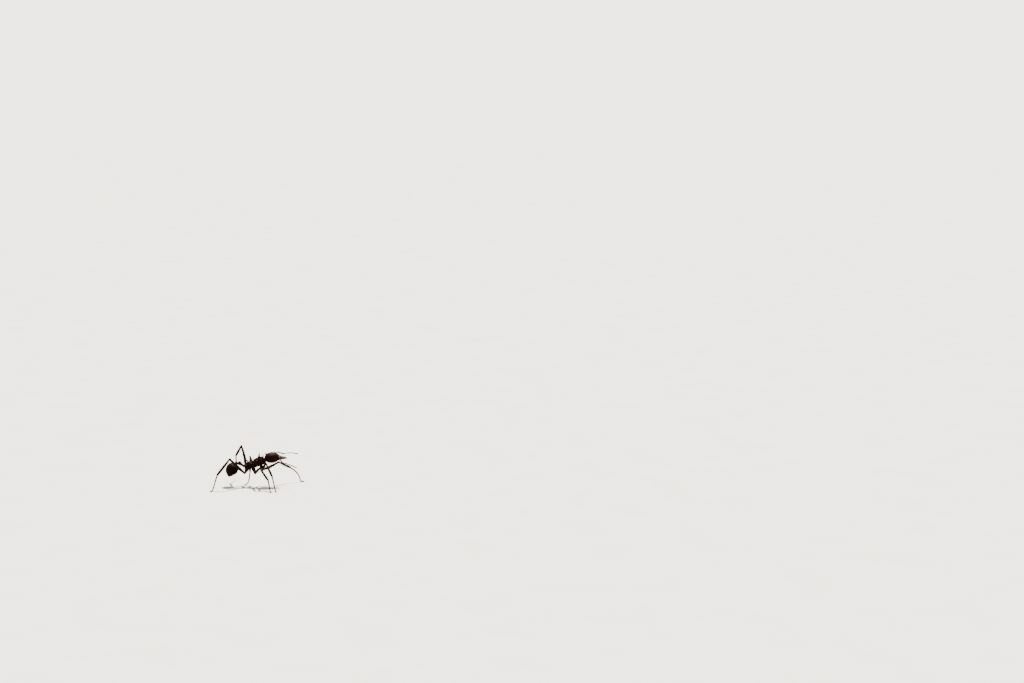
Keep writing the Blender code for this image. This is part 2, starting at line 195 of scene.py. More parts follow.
def sweep(path, stops, sides=28, steps=40, flat=(1.0, 1.0)):
    # a tube with round ends; stops give its radius, and lies and maps say where each point lies along it
    path = smoothPath([spot(p) for p in path], steps)
    tangents = [(path[min(i + 1, steps - 1)] - path[max(i - 1, 0)]).normalized() for i in range(steps)]
    side = tangents[0].cross(Vector((0, 0, 1)))
    side = (side if side.length > 0.05 else tangents[0].cross(Vector((1, 0.3, 0.1)))).normalized()
    rings, lies, maps = [], [], []
    for i, (p, axis) in enumerate(zip(path, tangents)):
        side = (side - axis * side.dot(axis)).normalized()
        up = side.cross(axis)
        t = i / (steps - 1)
        for a in range(0 if i else -90, 1 if i < steps - 1 else 91, 15):  # a quarter turn at each end
            radius = float(smoothRow(stops, t))
            centre = p + axis * radius * sin(radians(a))
            r = radius * cos(radians(a))
            wide, high = r * flat[0], r * flat[1]
            turns = circle(sides) if r >= 1e-4 else []
            ring = [centre + side * (wide * c) + up * (high * s) for c, s in turns] or [centre]
            rings.append(ring)
            lies += [axis] * len(ring)
            maps += [(j / len(ring), t) for j in range(len(ring))]
    return meshFrom(rings), np.array(lies), np.array(maps)


def tube(*args):
    return sweep(*args)[0]


def horn(base, tip, radius, bow, side=1):
    base, tip = [Vector((p[0], side * p[1], p[2])) for p in (base, tip)]
    path = [base, base.lerp(tip, 0.5) + Vector((0, 0, bow)), tip.lerp(base, 0.02)]
    return tube(path, {0: radius, 0.35: radius * 0.74, 0.7: radius * 0.44, 1: 0.016}, 24, 26)


def ball(centre, radius):
    half = Vector((0.004, 0, 0))
    return tube([centre - half, centre + half], {0: radius, 1: radius}, 24, 2)


def ovalRing(centre, lift, halfWidth, above, below, count, squareness=0.9):
    ring = []
    for c, s in circle(count):
        x = halfWidth * copysign(abs(c) ** squareness, c)
        y = (above if s >= 0 else below) * copysign(abs(s) ** squareness, s)
        ring.append(spot(Vector(centre) + Vector((0, 1, 0)) * x + Vector(lift) * y))
    return ring


def uprightShell(spec):
    rings = []
    start, end = spec["ends"]
    for i in range(spec["stations"]):
        k = start + (end - start) * i / (spec["stations"] - 1)
        top, bottom, width = smoothRow(spec["rows"], k)
        middle = bottom + (top - bottom) * spec["widest"]
        above, below = top - middle - spec["inset"], middle - bottom - spec["inset"]
        rings.append(ovalRing((k, 0, middle), (0, 0, 1), width - spec["inset"], above, below, spec["sides"]))
    return meshFrom(rings)


def evaluated(obj):
    # the shape that its modifiers give, without the object
    bpy.context.view_layer.update()
    mesh = bpy.data.meshes.new_from_object(obj.evaluated_get(bpy.context.evaluated_depsgraph_get()))
    bpy.data.objects.remove(obj)
    return mesh


def holder(name, data):
    obj = bpy.data.objects.new(name, data)
    bpy.context.scene.collection.objects.link(obj)
    return obj


def joined(meshes):
    verts, faces = [], []
    for m in meshes:
        faces += [tuple(i + len(verts) for i in p.vertices) for p in m.polygons]
        verts += [v.co.copy() for v in m.vertices]
    return newMesh(verts, faces)


def fuse(meshes, voxel, relax):
    # one smooth skin round several closed shapes
    obj = holder("skin", joined(meshes))
    shrink = obj.modifiers.new("skin", "REMESH")
    shrink.mode, shrink.voxel_size = "VOXEL", voxel
    calm = obj.modifiers.new("calm", "SMOOTH")
    calm.factor, calm.iterations = 0.5, relax
    return evaluated(obj)


def gather(items, key, width=3, kind=float):
    data = np.empty(len(items) * width, dtype=kind)
    items.foreach_get(key, data)
    return data.reshape(-1, width) if width > 1 else data


def pointsOf(mesh):
    return gather(mesh.vertices, "co")


def normalsOf(mesh):
    return gather(mesh.vertex_normals, "vector")


def push(mesh, *marks):
    # each mark is a rise in millimetres and where it holds
    depth = sum(rise * where for rise, where in marks)
    mesh.vertices.foreach_set("co", (pointsOf(mesh) + normalsOf(mesh) * depth[:, None]).ravel())
    mesh.update()


def store(mesh, name, values, width=1):
    kind, key, shape = ("FLOAT", "value", ()) if width == 1 else ("FLOAT_VECTOR", "vector", (width,))
    layer = mesh.attributes.get(name) or mesh.attributes.new(name, kind, "POINT")
    values = np.broadcast_to(values, (len(mesh.vertices), *shape))
    layer.data.foreach_set(key, np.array(values, dtype=float).ravel())


def paint(mesh, warmth=0.0, shadeAndJoints=0.0):
    store(mesh, "warmth", unit(warmth))
    # the second mask is painted shade in sunken folds, pits and seams, and dark joints on the limbs
    store(mesh, "shadeAndJoints", unit(shadeAndJoints))


def put(tree, kind, inputs, output=0, **settings):
    # a node with its settings, each input linked or given its value; a short kind is of the tree's own sort
    node = tree.nodes.new(kind if "Node" in kind else tree.bl_idname[:-4] + kind)
    for key, value in settings.items():
        setattr(node, key, value)
    plug(tree, node, inputs)
    return node.outputs if output is None else node.outputs[output]


def plug(tree, node, inputs):
    for key, value in inputs.items():
        if isinstance(value, bpy.types.NodeSocket):
            tree.links.new(value, node.inputs[key])
        else:
            node.inputs[key].default_value = value


def noise(tree, coords, size, detail=4.0, rough=0.55):
    inputs = {"Vector": coords, "Scale": 1 / (size * metres), "Detail": detail, "Roughness": rough}
    return put(tree, "TexNoise", inputs, "Fac")


def colourRamp(tree, value, stops):
    n = tree.nodes.new("ShaderNodeValToRGB")
    while len(n.color_ramp.elements) < len(stops):
        n.color_ramp.elements.new(0.5)
    for e, (at, colour) in zip(n.color_ramp.elements, stops):
        e.position, e.color = at, (*colour, 1.0)
    plug(tree, n, {"Fac": value})
    return n.outputs["Color"]


def mix(tree, a, b, factor):
    a, b = [(*c, 1.0) if isinstance(c, tuple) else c for c in (a, b)]
    return put(tree, "Mix", {0: factor, 6: a, 7: b}, 2, data_type="RGBA")


def number(tree, operation, a, b):
    return put(tree, "ShaderNodeMath", {0: a, 1: b}, operation=operation)


def span(tree, value, low, high, outLow=0.0, outHigh=1.0):
    inputs = {"Value": value, "From Min": low, "From Max": high, "To Min": outLow, "To Max": outHigh}
    return put(tree, "MapRange", inputs, "Result")


def painted(tree, name):
    return put(tree, "Attribute", {}, "Fac", attribute_name=name)


def objectCoords(tree):
    return put(tree, "TexCoord", {}, "Object")


def newMaterial(name):
    mat = bpy.data.materials.new(name)
    mat.use_nodes = True
    return mat, mat.node_tree, mat.node_tree.nodes["Principled BSDF"]


# tones in ten-thousandths of full light: deep, base, bright, warm, flecks, and a dark tone for painted shade
# in folds, pits and seams and for dark joints; sizes in millimetres;
# gloss is the range of the roughness
finishes = {
    "trunkShell": dict(
        tones=((101, 17, 6), (274, 44, 14), (503, 94, 27),
               (1005, 200, 47), (704, 155, 47), (41, 9, 4)),
        flecks=0.35, cloud=0.42, fine=0.024, cell=0.019, net=0.6, bump=0.0042, gloss=(0.68, 0.82),
        glow=0.1, reach=(0.3, 0.09, 0.04)),
    "headShell": dict(
        tones=((100, 17, 6), (290, 49, 15), (554, 105, 30),
               (1162, 273, 62), (691, 162, 51), (39, 8, 3)),
        cloud=0.5, fine=0.022, cell=0.016, net=0.5, bump=0.0034, gloss=(0.66, 0.8),
        glow=0.12, reach=(0.32, 0.1, 0.04)),
    "gasterShell": dict(
        tones=((42, 19, 9), (104, 39, 16), (209, 83, 30),
               (800, 306, 77), (296, 144, 54), (20, 10, 6)),
        flecks=0.35, cloud=0.38, fine=0.026, cell=0.022, net=0.35, grain=0.6, bump=0.003,
        gloss=(0.68, 0.82), glow=0.06, reach=(0.25, 0.08, 0.04)),
    "legShell": dict(
        tones=((94, 24, 9), (206, 62, 19), (337, 118, 35),
               (625, 253, 77), (412, 165, 55), (37, 12, 4)),
        cloud=0.34, fine=0.022, cell=0.015, net=0.45, bump=0.0026, gloss=(0.54, 0.68),
        glow=0.28, reach=(0.35, 0.13, 0.05)),
    "jawShell": dict(
        tones=((52, 14, 8), (166, 40, 15), (355, 95, 31),
               (29, 12, 8), (378, 119, 43), (19, 8, 4)),
        flecks=0.25, fine=0.018, net=0.05, bump=0.0022, gloss=(0.38, 0.5),
        glow=0.1, reach=(0.28, 0.09, 0.04), coat=0.05),
    "footShell": dict(
        tones=((226, 112, 64), (384, 210, 123), (520, 307, 192),
               (452, 220, 110), (565, 348, 220), (113, 41, 16)),
        fine=0.018, cell=0.014, bump=0.002, gloss=(0.32, 0.48), glow=0.4, reach=(0.35, 0.18, 0.1)),
    "feelerShell": dict(
        tones=((181, 63, 22), (335, 128, 45), (489, 209, 76),
               (558, 248, 99), (586, 287, 124), (63, 21, 9)),
        fine=0.016, cell=0.013, net=0.5, bump=0.002, gloss=(0.38, 0.55),
        glow=0.25, reach=(0.35, 0.15, 0.07)),
    "clawShell": dict(
        tones=((126, 38, 17), (357, 113, 42), (672, 252, 84),
               (840, 336, 126), (672, 252, 84), (42, 17, 8)),
        flecks=0.2, cloud=0.12, net=0.1, grain=0.4, bump=0.0015, gloss=(0.26, 0.36),
        glow=0.15, reach=(0.3, 0.1, 0.05)),
    "softSkin": dict(
        tones=((240, 101, 43), (390, 182, 82), (540, 270, 126),
               (630, 297, 126), (600, 338, 164), (105, 38, 15)),
        cloud=0.2, grain=0.6, bump=0.004, gloss=(0.45, 0.62), glow=0.25, reach=(0.3, 0.14, 0.06)),
    "eyeShell": dict(
        tones=((40, 35, 35), (90, 70, 65), (220, 150, 120),
               (500, 200, 100), (300, 220, 180), (30, 20, 20)),
        cloud=0.1, net=0.0, grain=0.3, bump=0.0008, gloss=(0.1, 0.2),
        glow=0.0, reach=(0.1, 0.1, 0.1), coat=0.15),
}
hairLook = {  # root, tip and sunlit tone
    "tones": ((450, 170, 70), (1700, 780, 280), (2400, 1250, 480)), "gloss": 0.42,
}


def shares(tones):
    return [tuple(part / 10000 for part in tone) for tone in tones]


def shellMaterial(name, tones, bump, gloss, glow, reach, flecks=0.3, cloud=0.3, fine=0.02, cell=0.02, net=0.4,
                  grain=0.5, coat=0.0):
    mat, tree, shader = newMaterial(name)
    deep, base, bright, warm, fleck, dark = shares(tones)
    coords, shadeAndJoints = objectCoords(tree), painted(tree, "shadeAndJoints")
    clouds = noise(tree, coords, cloud, 5.0, 0.6)
    grains = noise(tree, coords, fine, 3.0, 0.5)
    colour = colourRamp(tree, clouds, [(0.32, deep), (0.5, base), (0.7, bright)])
    colour = mix(tree, colour, warm, painted(tree, "warmth"))
    colour = mix(tree, colour, fleck, span(tree, grains, 0.56, 0.72, 0.0, flecks))
    # painted shade: the dark tone goes into sunken folds, pits, seams and grooves, and onto dark joints
    colour = mix(tree, colour, dark, span(tree, shadeAndJoints, 0.0, 1.0, 0.0, 0.85))
    inputs = {"Vector": coords, "Scale": 1 / (cell * metres), "Randomness": 0.85}
    cells = put(tree, "TexVoronoi", inputs, "Distance", feature="DISTANCE_TO_EDGE")
    lines = number(tree, "MULTIPLY", span(tree, cells, 0.0, 0.16), net)
    height = number(tree, "ADD", lines, number(tree, "MULTIPLY", grains, grain))
    patches = span(tree, noise(tree, coords, cloud * 0.45, 3.0), 0.3, 0.7, *gloss)
    plug(tree, shader, {
        "Base Color": colour, "Specular IOR Level": 0.12, "Coat Weight": coat, "Coat Roughness": 0.22,
        "Normal": put(tree, "Bump", {"Strength": 1.0, "Distance": bump * metres, "Height": height}),
        "Roughness": number(tree, "ADD", patches, number(tree, "MULTIPLY", shadeAndJoints, 0.12)),
        "Subsurface Weight": glow, "Subsurface Radius": reach, "Subsurface Scale": metres})
    return mat


def hairMaterial():
    mat, tree, shader = newMaterial("hair")
    root, tip, sunlit = shares(hairLook["tones"])
    colour = colourRamp(tree, painted(tree, "rise"), [(0.0, root), (0.55, tip), (1.0, tip)])
    some = span(tree, noise(tree, objectCoords(tree), 0.3), 0.45, 0.75, 0.0, 0.4)
    plug(tree, shader, {"Base Color": mix(tree, colour, sunlit, some), "Roughness": hairLook["gloss"]})
    return mat


skins = {name: shellMaterial(name, **spec) for name, spec in finishes.items()}
skins["hair"] = hairMaterial()


def give(name, mesh, finish, slot, *replaces):
    if "warmth" not in mesh.attributes:
        paint(mesh)
    mesh.name = name
    mesh.transform(Matrix.Scale(metres, 4))
    mesh.shade_smooth()
    mesh.materials.clear()
    mesh.materials.append(skins[finish])
    obj = holder(name, mesh)
    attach(obj, "root")
    if replaces:
        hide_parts(*replaces)


coatBases = {}  # for each coat its skins, each with lie, fur, hair size and unwrap


def growOn(coat, mesh, lie, fur, unwrap, size=1.0):
    # lie is the way that the hairs lean, fur how thick they stand
    n = len(mesh.vertices)
    lies, furs, sizes = np.broadcast_to(lie, (n, 3)), np.broadcast_to(fur, n), np.broadcast_to(size, n)
    coatBases.setdefault(coat, []).append((mesh.copy(), lies, furs, sizes, unwrap))


def unrolled(across, up, along):
    return np.column_stack((np.arctan2(across, up) / tau + 0.5, along))


trunk = {
    "rows": {  # forward station: upper edge, lower edge, half width
        -1.835: (3.54, 3.06, 0.23), -1.72: (3.62, 3.02, 0.3), -1.45: (3.98, 2.92, 0.44),
        -1.1: (4.12, 2.86, 0.5), -0.78: (4.06, 2.86, 0.47), -0.6: (4.06, 2.9, 0.44), -0.4: (4.3, 2.95, 0.47),
        0.0: (4.62, 3.06, 0.56),
        0.3: (4.76, 3.18, 0.61), 0.7: (4.92, 3.32, 0.64), 1.05: (4.92, 3.44, 0.6), 1.35: (4.78, 3.6, 0.45),
        1.6: (4.66, 3.86, 0.3), 2.0: (4.76, 4.26, 0.22)},
    "ends": (-1.835, 1.98), "widest": 0.48, "stations": 110, "sides": 72,
    "inset": 0.016, "voxel": 0.018, "relax": 4,
    "spines": [  # base, tip, radius at the base, how far it bows up
        ((-1.1, 0.26, 3.9), (-1.66, 0.44, 4.48), 0.125, 0.04),
        ((0.58, 0.3, 4.58), (0.65, 0.46, 5.67), 0.215, 0.03),
        ((-0.24, 0.22, 4.24), (-0.34, 0.33, 4.74), 0.11, 0.02),
        ((1.18, 0.34, 4.52), (1.36, 0.66, 5.2), 0.155, 0.04)],
    "breathingHole": (-1.22, 3.66), "gland": (-1.5, 3.16),
}


def spined(spec, parts, place=Vector):
    for base, tip, radius, bow in spec["spines"]:
        parts += [horn(place(base), place(tip), radius, bow, side) for side in (-1, 1)]
    return fuse(parts, spec["voxel"], spec["relax"])


def makeTrunk():
    skin = spined(trunk, [uprightShell(trunk)])
    q = bodySpace(skin)
    f, w, u = q[:, 0], np.abs(q[:, 1]), q[:, 2]
    spine = np.zeros(len(f))
    for base, tip, radius, _ in trunk["spines"]:
        p, b = np.column_stack((f, w, u)) - base, np.array(tip) - base
        t = np.clip(p @ b / (b @ b), 0, 1.1)
        off = np.linalg.norm(p - t[:, None] * b, axis=1)
        spine = np.maximum(spine, bell(off, radius * 1.1) * unit(t * 2.2))
    plain, side, flank = 1 - unit(spine * 1.6), ramp(w, 0.3, 0.08), ramp(w, 0.26, 0.1)
    sutures = (
        bell(f - (0.84 + 0.16 * (4.7 - u)), 0.026) * (u > 3.5),  # first plate from second
        bell(f + 0.62 + 0.24 * (4.05 - u), 0.036) * 1.2,  # second plate from last
        bell(u - (3.7 + 0.24 * f), 0.024) * flank * (f > -0.62) * (f < 0.86),
        bell(u - (3.28 - 0.05 * f), 0.022) * flank * (f < -0.72) * (f > -1.62),
        bell(f - 1.34 - 0.1 * (u - 4.1), 0.024) * 0.8,
    )
    groove = np.clip(sum(sutures), 0, 1.2) * plain
    hole, gland = [np.hypot(f - at, u - high) for at, high in (trunk["breathingHole"], trunk["gland"])]
    push(skin, (-0.03, groove),
         (0.016, bell(hole - 0.055, 0.014) * side), (-0.026, bell(hole, 0.026) * side),
         (0.035, bell(gland, 0.13) * side),
         (0.003, grit(q, 0.03) * plain), (0.005, grit(q, 0.085, 3.0) * plain),
         (-0.022, bell(w, 0.09) * bell(f + 1.18, 0.25) * (u > 3.9)),  # hollow between the rear spines
         (0.012, bell(w - 0.16, 0.035) * (u > 4.2) * (f > -0.3) * (f < 0.3)))  # paired ridges on the back
    warmth = 0.35 * ramp(u, 3.35, -0.5) + 0.38 * unit(spine) ** 2 + 0.3 * ramp(f, 1.3, 0.5)
    # painted shade in the sunken sutures and in the breathing hole
    paint(skin, warmth, groove + bell(hole, 0.03) * side)
    fur = plain * unit(1 - groove * 1.5) * ramp(u, 2.95, 0.3, 0.25)
    growOn("body", skin, direction((-1, 0, 0)), fur, unrolled(q[:, 1], u - 3.7, (f + 2.0) / 4.1))
    give("trunkShell", skin, "trunkShell", "body_shell", "propodeum", "mesonotum", "pronotum")


waist = {"inset": 0.014, "voxel": 0.013, "relax": 3, "furFrom": 3.6}
stem = {
    "rows": {  # forward station: upper edge, lower edge, half width
        -1.87: (3.54, 3.06, 0.23), -2.12: (3.74, 3.18, 0.23), -2.3: (3.94, 3.3, 0.26),
        -2.5: (4.16, 3.42, 0.32), -2.72: (4.2, 3.5, 0.35), -2.93: (4.05, 3.55, 0.27)},
    "ends": (-1.8, -2.935), "widest": 0.45, "stations": 60, "sides": 48, "inset": waist["inset"],
    "neck": [(-1.7, 0, 3.25), (-1.84, 0, 3.29), (-1.95, 0, 3.36)],
    "bump": ((-2.66, 0.1, 3.97), (-2.74, 0.16, 4.22), 0.06, 0.0), "folds": ((-1.93, 0.022), (-2.9, 0.02)),
}
knot = {
    "rings": {  # in order: forward, up, pitch of the ring, half height, half width
        0: (-2.965, 3.8, 0, 0.24, 0.27), 1: (-3.04, 3.84, -8, 0.3, 0.4), 2: (-3.16, 3.84, -24, 0.33, 0.47),
        3: (-3.27, 3.77, -40, 0.28, 0.4), 4: (-3.34, 3.69, -54, 0.2, 0.28)},
    "stations": 56, "sides": 52,
}
softLinks = {  # path and radius of the skin between the body's parts
    "linkPetiole": ([(-2.88, 0, 3.8), (-2.95, 0, 3.8), (-3.02, 0, 3.8)], 0.19),
    "linkGaster": ([(-3.26, 0, 3.78), (-3.36, 0, 3.675), (-3.45, 0, 3.54)], 0.195),
    "linkNeck": ([(1.86, 0, 4.44), (1.98, 0, 4.5), (2.12, 0, 4.56)], 0.17),
}


def giveWaist(node, mesh, q, mark, rise, dark, warm, low, core, along):
    push(mesh, (rise, mark), (0.0022, grit(q, 0.026)), (0.004, grit(q, 0.08)))
    # painted shade in the sunken folds and dent, as strong as the dark share
    paint(mesh, warm * ramp(q[:, 2], low, -0.3), dark * mark)
    fur = ramp(q[:, 2], waist["furFrom"], 0.2, 0.1)
    growOn("waist", mesh, direction((-1, 0, 0)), fur, unrolled(q[:, 1], q[:, 2] - core, along))
    give(node + "Shell", mesh, "trunkShell", "body_shell", node)


def makeWaist():
    neck = tube(stem["neck"], {0: 0.185, 0.5: 0.2, 1: 0.185}, 32, 14)
    parts = [uprightShell(stem), neck] + [horn(*stem["bump"], side) for side in (-1, 1)]
    mesh = fuse(parts, waist["voxel"], waist["relax"])
    q = bodySpace(mesh)
    folds = sum(bell(q[:, 0] - at, width) for at, width in stem["folds"])
    giveWaist("petiole", mesh, q, folds, -0.016, 1.0, 0.18, 3.6, 3.65, (q[:, 0] + 3.1) / 1.5)
    rings = []
    for i in range(knot["stations"]):
        place = i / (knot["stations"] - 1) * (len(knot["rings"]) - 1)
        forward, up, pitch, high, wide = smoothRow(knot["rings"], place)
        lift = (sin(radians(pitch)), 0, cos(radians(pitch)))
        high, wide = high - waist["inset"], wide - waist["inset"]
        rings.append(ovalRing((forward, 0, up), lift, wide, high, high, knot["sides"], 0.95))
    mesh = fuse([meshFrom(rings)], waist["voxel"], waist["relax"])
    q = bodySpace(mesh)
    dent = bell(q[:, 1], 0.07) * (q[:, 2] > 3.85)
    giveWaist("postpetiole", mesh, q, dent, -0.014, 0.4, 0.15, 3.75, 3.75, (q[:, 0] + 3.6) / 0.8)
    for name, (path, radius) in softLinks.items():
        link = tube(path, {0: radius * 0.9, 0.5: radius, 1: radius * 0.9}, 32, 12)
        give(name, link, "softSkin", "body_shell")


gaster = {
    "start": (-3.36, 3.68), "pitch": -62.0, "gap": 0.035, "inset": 0.012,
    "rows": {  # distance along the gaster: height above, depth below, half width
        0.0: (0.2, 0.2, 0.27), 0.04: (0.52, 0.48, 0.54), 0.1: (0.74, 0.67, 0.75), 0.26: (0.94, 0.82, 0.94),
        0.5: (1.05, 0.91, 1.06), 0.85: (1.11, 0.93, 1.12), 1.25: (1.08, 0.85, 1.09),
        1.6: (0.98, 0.7, 0.97), 1.88: (0.79, 0.52, 0.79), 2.1: (0.53, 0.36, 0.55), 2.25: (0.29, 0.21, 0.32),
        2.36: (0.02, 0.02, 0.02)},
    "plates": [(0.0, 1.38), (1.3, 1.76), (1.69, 2.03), (1.97, 2.22), (2.17, 2.345)],
    "step": 0.011, "lip": 0.02, "sides": 128, "seamAngle": 104,
    "tip": ([2.27, 2.33, 2.35], {0: 0.05, 0.6: 0.035, 1: 0.014}),
}


def plateStops(a, b, first, last):
    # places along one plate, with how far its skin tucks in: the free edge turns under
    count, ease = (90, 1.5) if first else (30, 1.0)
    stops = [(a + (b - a) * (i / count) ** ease, 0.0) for i in range(count + 1)]
    if not last:
        edge, lip = stops.pop()[0], gaster["lip"]
        stops += [(edge - 0.01, 0.0), (edge - 0.003, 0.002), (edge, 0.007), (edge + 0.001, 0.013),
                  (edge - 0.002, lip), (edge - 0.03, lip + 0.012)]
    return stops


def makeGaster():
    r = radians(gaster["pitch"])
    axis, lift = Vector((-cos(r), 0, sin(r))), Vector((sin(r), 0, cos(r)))
    start = Vector((gaster["start"][0], 0, gaster["start"][1])) + axis * gaster["gap"]
    for order, (a, b) in enumerate(gaster["plates"]):
        rings = []
        last = b == gaster["plates"][-1][1]
        for s, tuck in plateStops(a, b, order == 0, last):
            thin = gaster["inset"] + order * gaster["step"] * (0.5 if last else 1.0) + tuck
            swell = 0.0 if last else 0.01 * exp(-(((b - s) / 0.05) ** 2))
            above, below, wide = (max(r - thin + swell, 0.004) for r in smoothRow(gaster["rows"], s))
            rings.append(ovalRing(start + axis * s, lift, wide, above, below, gaster["sides"], 1.0))
        plate = meshFrom(rings)
        q = bodySpace(plate)
        rel = q - np.array(start)
        s, up, across = rel @ np.array(axis), rel @ np.array(lift), q[:, 1]
        angle = np.arctan2(np.abs(across), up)
        seam = bell(angle - radians(gaster["seamAngle"]) - 0.12 * s, 0.02) * ramp(s, 0.35, 0.2)
        rim = ramp(s, b - 0.16, 0.16) ** 2 * (not last)
        calm = np.clip(1 - rim, 0.15, 1)
        push(plate, (-0.012, seam * calm), (0.0016, grit(q, 0.03) * calm), (0.004, grit(q, 0.16) * calm))
        warmth = 0.42 * rim + 0.3 * last + 0.1 * order / 4 + 0.25 * ramp(s, 0.16, -0.16)
        # painted shade along the sunken side seam and under the edge of the plate in front
        paint(plate, warmth, seam + bell(s - a - 0.075, 0.03) * (order > 0))
        fur = ramp(s, b - 0.02, -0.05) * ramp(s - a, 0.06 if order else 0.0, 0.06)
        growOn("gaster", plate, direction(axis), fur, unrolled(across, up, (s - a) / (b - a) * 0.98 + 0.01))
        name, nodes = "gasterPlate%d" % (order + 1), [] if order else ["gaster"]
        give(name, plate, "gasterShell", "gaster_shell", *nodes)
    along, stops = gaster["tip"]
    tip = tube([start + axis * s for s in along], stops, 16, 10)
    give("gasterTip", tip, "jawShell", "gaster_shell")


def headLoop(x, grow):
    # one slice of the head, from front to rear and round underneath
    w = abs(x)
    front = head["front"] - 1.25 * max(0.0, (w - 0.62) / 0.54) ** 1.6
    lobe = -0.95 - 0.27 * exp(-(((w - 0.6) / 0.3) ** 2))
    rear = lobe if w < 0.6 else -1.22 + 0.62 * ((w - 0.6) / 0.54) ** 2
    depth = head["halfDepth"] * (1 - (w / 1.26) ** 2.6) ** 0.5
    loop = []
    for c, s in circle(head["around"]):
        along = (front + rear) / 2 + ((front - rear) / 2 + grow) * copysign(abs(c) ** 0.85, c)
        taper = 1.0 - 0.42 * max(0.0, (along - rear) / (front - rear) - 0.35) ** 1.5
        loop.append(headSpot((along, x * (1 + grow / head["halfWidth"]), (depth * taper + grow) * s - 0.02)))
    return loop


def headEllipsoid(centre, radii, rows=16, sides=24):
    rings = []
    for i in range(rows + 1):
        a = pi * i / rows - pi / 2
        flat, count = (cos(a), sides) if 0 < i < rows else (0.0, 1)
        wide, high = radii[1] * flat, radii[2] * flat
        points = [Vector((radii[0] * sin(a), wide * c, high * s)) for c, s in circle(count)]
        rings.append([headSpot(Vector(centre) + p) for p in points])
    return meshFrom(rings)


def toSegment(x, y, a, b):
    (ax, ay), (bx, by) = a, b
    t = unit(((x - ax) * (bx - ax) + (y - ay) * (by - ay)) / ((bx - ax) ** 2 + (by - ay) ** 2))
    return np.hypot(x - ax - t * (bx - ax), y - ay - t * (by - ay))


def headShapes(h, normals):
    # where each feature of the head lies, as a share from 0 to 1
    along, across, w, up = h[:, 0], h[:, 1], np.abs(h[:, 1]), h[:, 2]
    top, under = unit(normals[:, 2] * 2.5), unit(-normals[:, 2] * 2.5)
    flank = unit(1 - np.abs(normals[:, 2]) * 1.3)
    eyeAlong, _, eyeUp = eyes["at"]
    roof = unit(1.6 * bell(toSegment(along, w, (0.38, 0.285), (0.6, 0.3)), 0.062)) * top
    pit = bell(np.hypot(along - 0.56, w - 0.43), 0.125) * top * (1 - roof)
    front = bell(along - (0.74 - 0.1 * (w / 0.4) ** 2), 0.02) * (w < 0.48) * top
    mouth = np.hypot((along - 0.92) / 0.42, w / 0.36)
    cheek = ramp(along, 0.1, 0.25) * ramp(w, 0.55, 0.2) * unit(flank + under)
    wrinkle = np.sin(tau * (w - 0.22 * along) / 0.05 + 0.9 * grit(h, 0.3)) * (w > 0.1)
    marks = {
        "socketRoof": roof,
        "socketRidge": bell(toSegment(along, w, (0.36, 0.3), (0.0, 0.43)), 0.024) * top,
        "frontFurrow": bell(across, 0.026) * top * ramp(along, 0.42, -0.15),
        "feelerPit": pit,
        "shieldEdge": front + bell(w - 0.5, 0.02) * (along > 0.66) * top * 0.8,
        "browDent": bell(np.hypot((along - 0.62) * 0.7, w), 0.045) * top,
        "eyeRim": bell(np.hypot(along - eyeAlong, up - eyeUp) - eyes["radii"][0], 0.02) * (w > 0.8),
        "browRidge": bell(toSegment(along, w, (0.8, 0.58), (0.2, 0.93)), 0.024) * top,
        "throatLine": bell(across, 0.02) * under * ramp(along, 0.45, -0.1),
        "mouthRim": bell(mouth - 1.0, 0.09) * under,
        "mouthPit": ramp(mouth, 0.92, -0.25) * under,
        "neckRing": bell(np.hypot(across, up + 0.1) - 0.235, 0.028) * (along < -0.72),
        "cheekLines": np.sin(tau * (up + 0.25 * along) / 0.04) * cheek,
        "crownWrinkles": wrinkle * top * unit(1 - pit * 2 - roof),
        "grain": grit(h, 0.028), "swell": grit(h, 0.2, 2.0),
        "shieldCrown": bell(w - 0.12, 0.09) * ramp(along, 0.78, 0.1) * top,
    }
    return marks, top, under, flank


def makeHead():
    grow = -head["inset"]
    rings = [[headSpot((-0.34, -head["halfWidth"] - grow, 0.0))]]
    for i in range(head["slices"]):
        turn = pi / 2 * (2 * i / (head["slices"] - 1) - 1)
        rings.append(headLoop((head["halfWidth"] - 0.02) * sin(turn), grow))
    rings.append([headSpot((-0.34, head["halfWidth"] + grow, 0.0))])
    hinges = [headEllipsoid((1.06, side * 0.66, -0.1), (0.1, 0.13, 0.14)) for side in (-1, 1)]
    skin = spined(head, [meshFrom(rings)] + hinges, inHead)
    h = headSpace(skin)
    along, w, up = h[:, 0], np.abs(h[:, 1]), h[:, 2]
    marks, top, under, flank = headShapes(h, normalsOf(skin))
    push(skin, *[(rise, marks[key]) for key, (rise, dark) in head["marks"].items()])
    spine = bell(np.sqrt((along + 1.08) ** 2 + (w - 0.7) ** 2 + (up - 0.72) ** 2), 0.16)
    warmth = 0.42 * ramp(along, 0.45, 0.65) * unit(0.35 + flank + under)
    warmth += 0.55 * under * ramp(along, -0.2, 1.1) + 0.22 * unit(spine) + 0.12 * marks["browRidge"]
    # painted shade in the sunken marks: frontal furrow, feeler and mouth pits, shield edge, brow dent, eye
    # rim and throat line
    paint(skin, warmth, sum(dark * marks[key] for key, (rise, dark) in head["marks"].items()))
    fromEye = np.linalg.norm(np.column_stack((along, w, up)) - eyes["at"], axis=1)
    bare = marks["feelerPit"] * 2 + marks["mouthPit"] * 2 + marks["frontFurrow"]
    fur = unit(1 - bare) * unit(0.45 + top) * unit(fromEye / 0.22 - 0.8)
    growOn("head", skin, direction((1, 0, -0.1)), fur, unrolled(h[:, 1], up, (along + 1.4) / 2.8))
    give("headShell", skin, "headShell", "body_shell", "head")


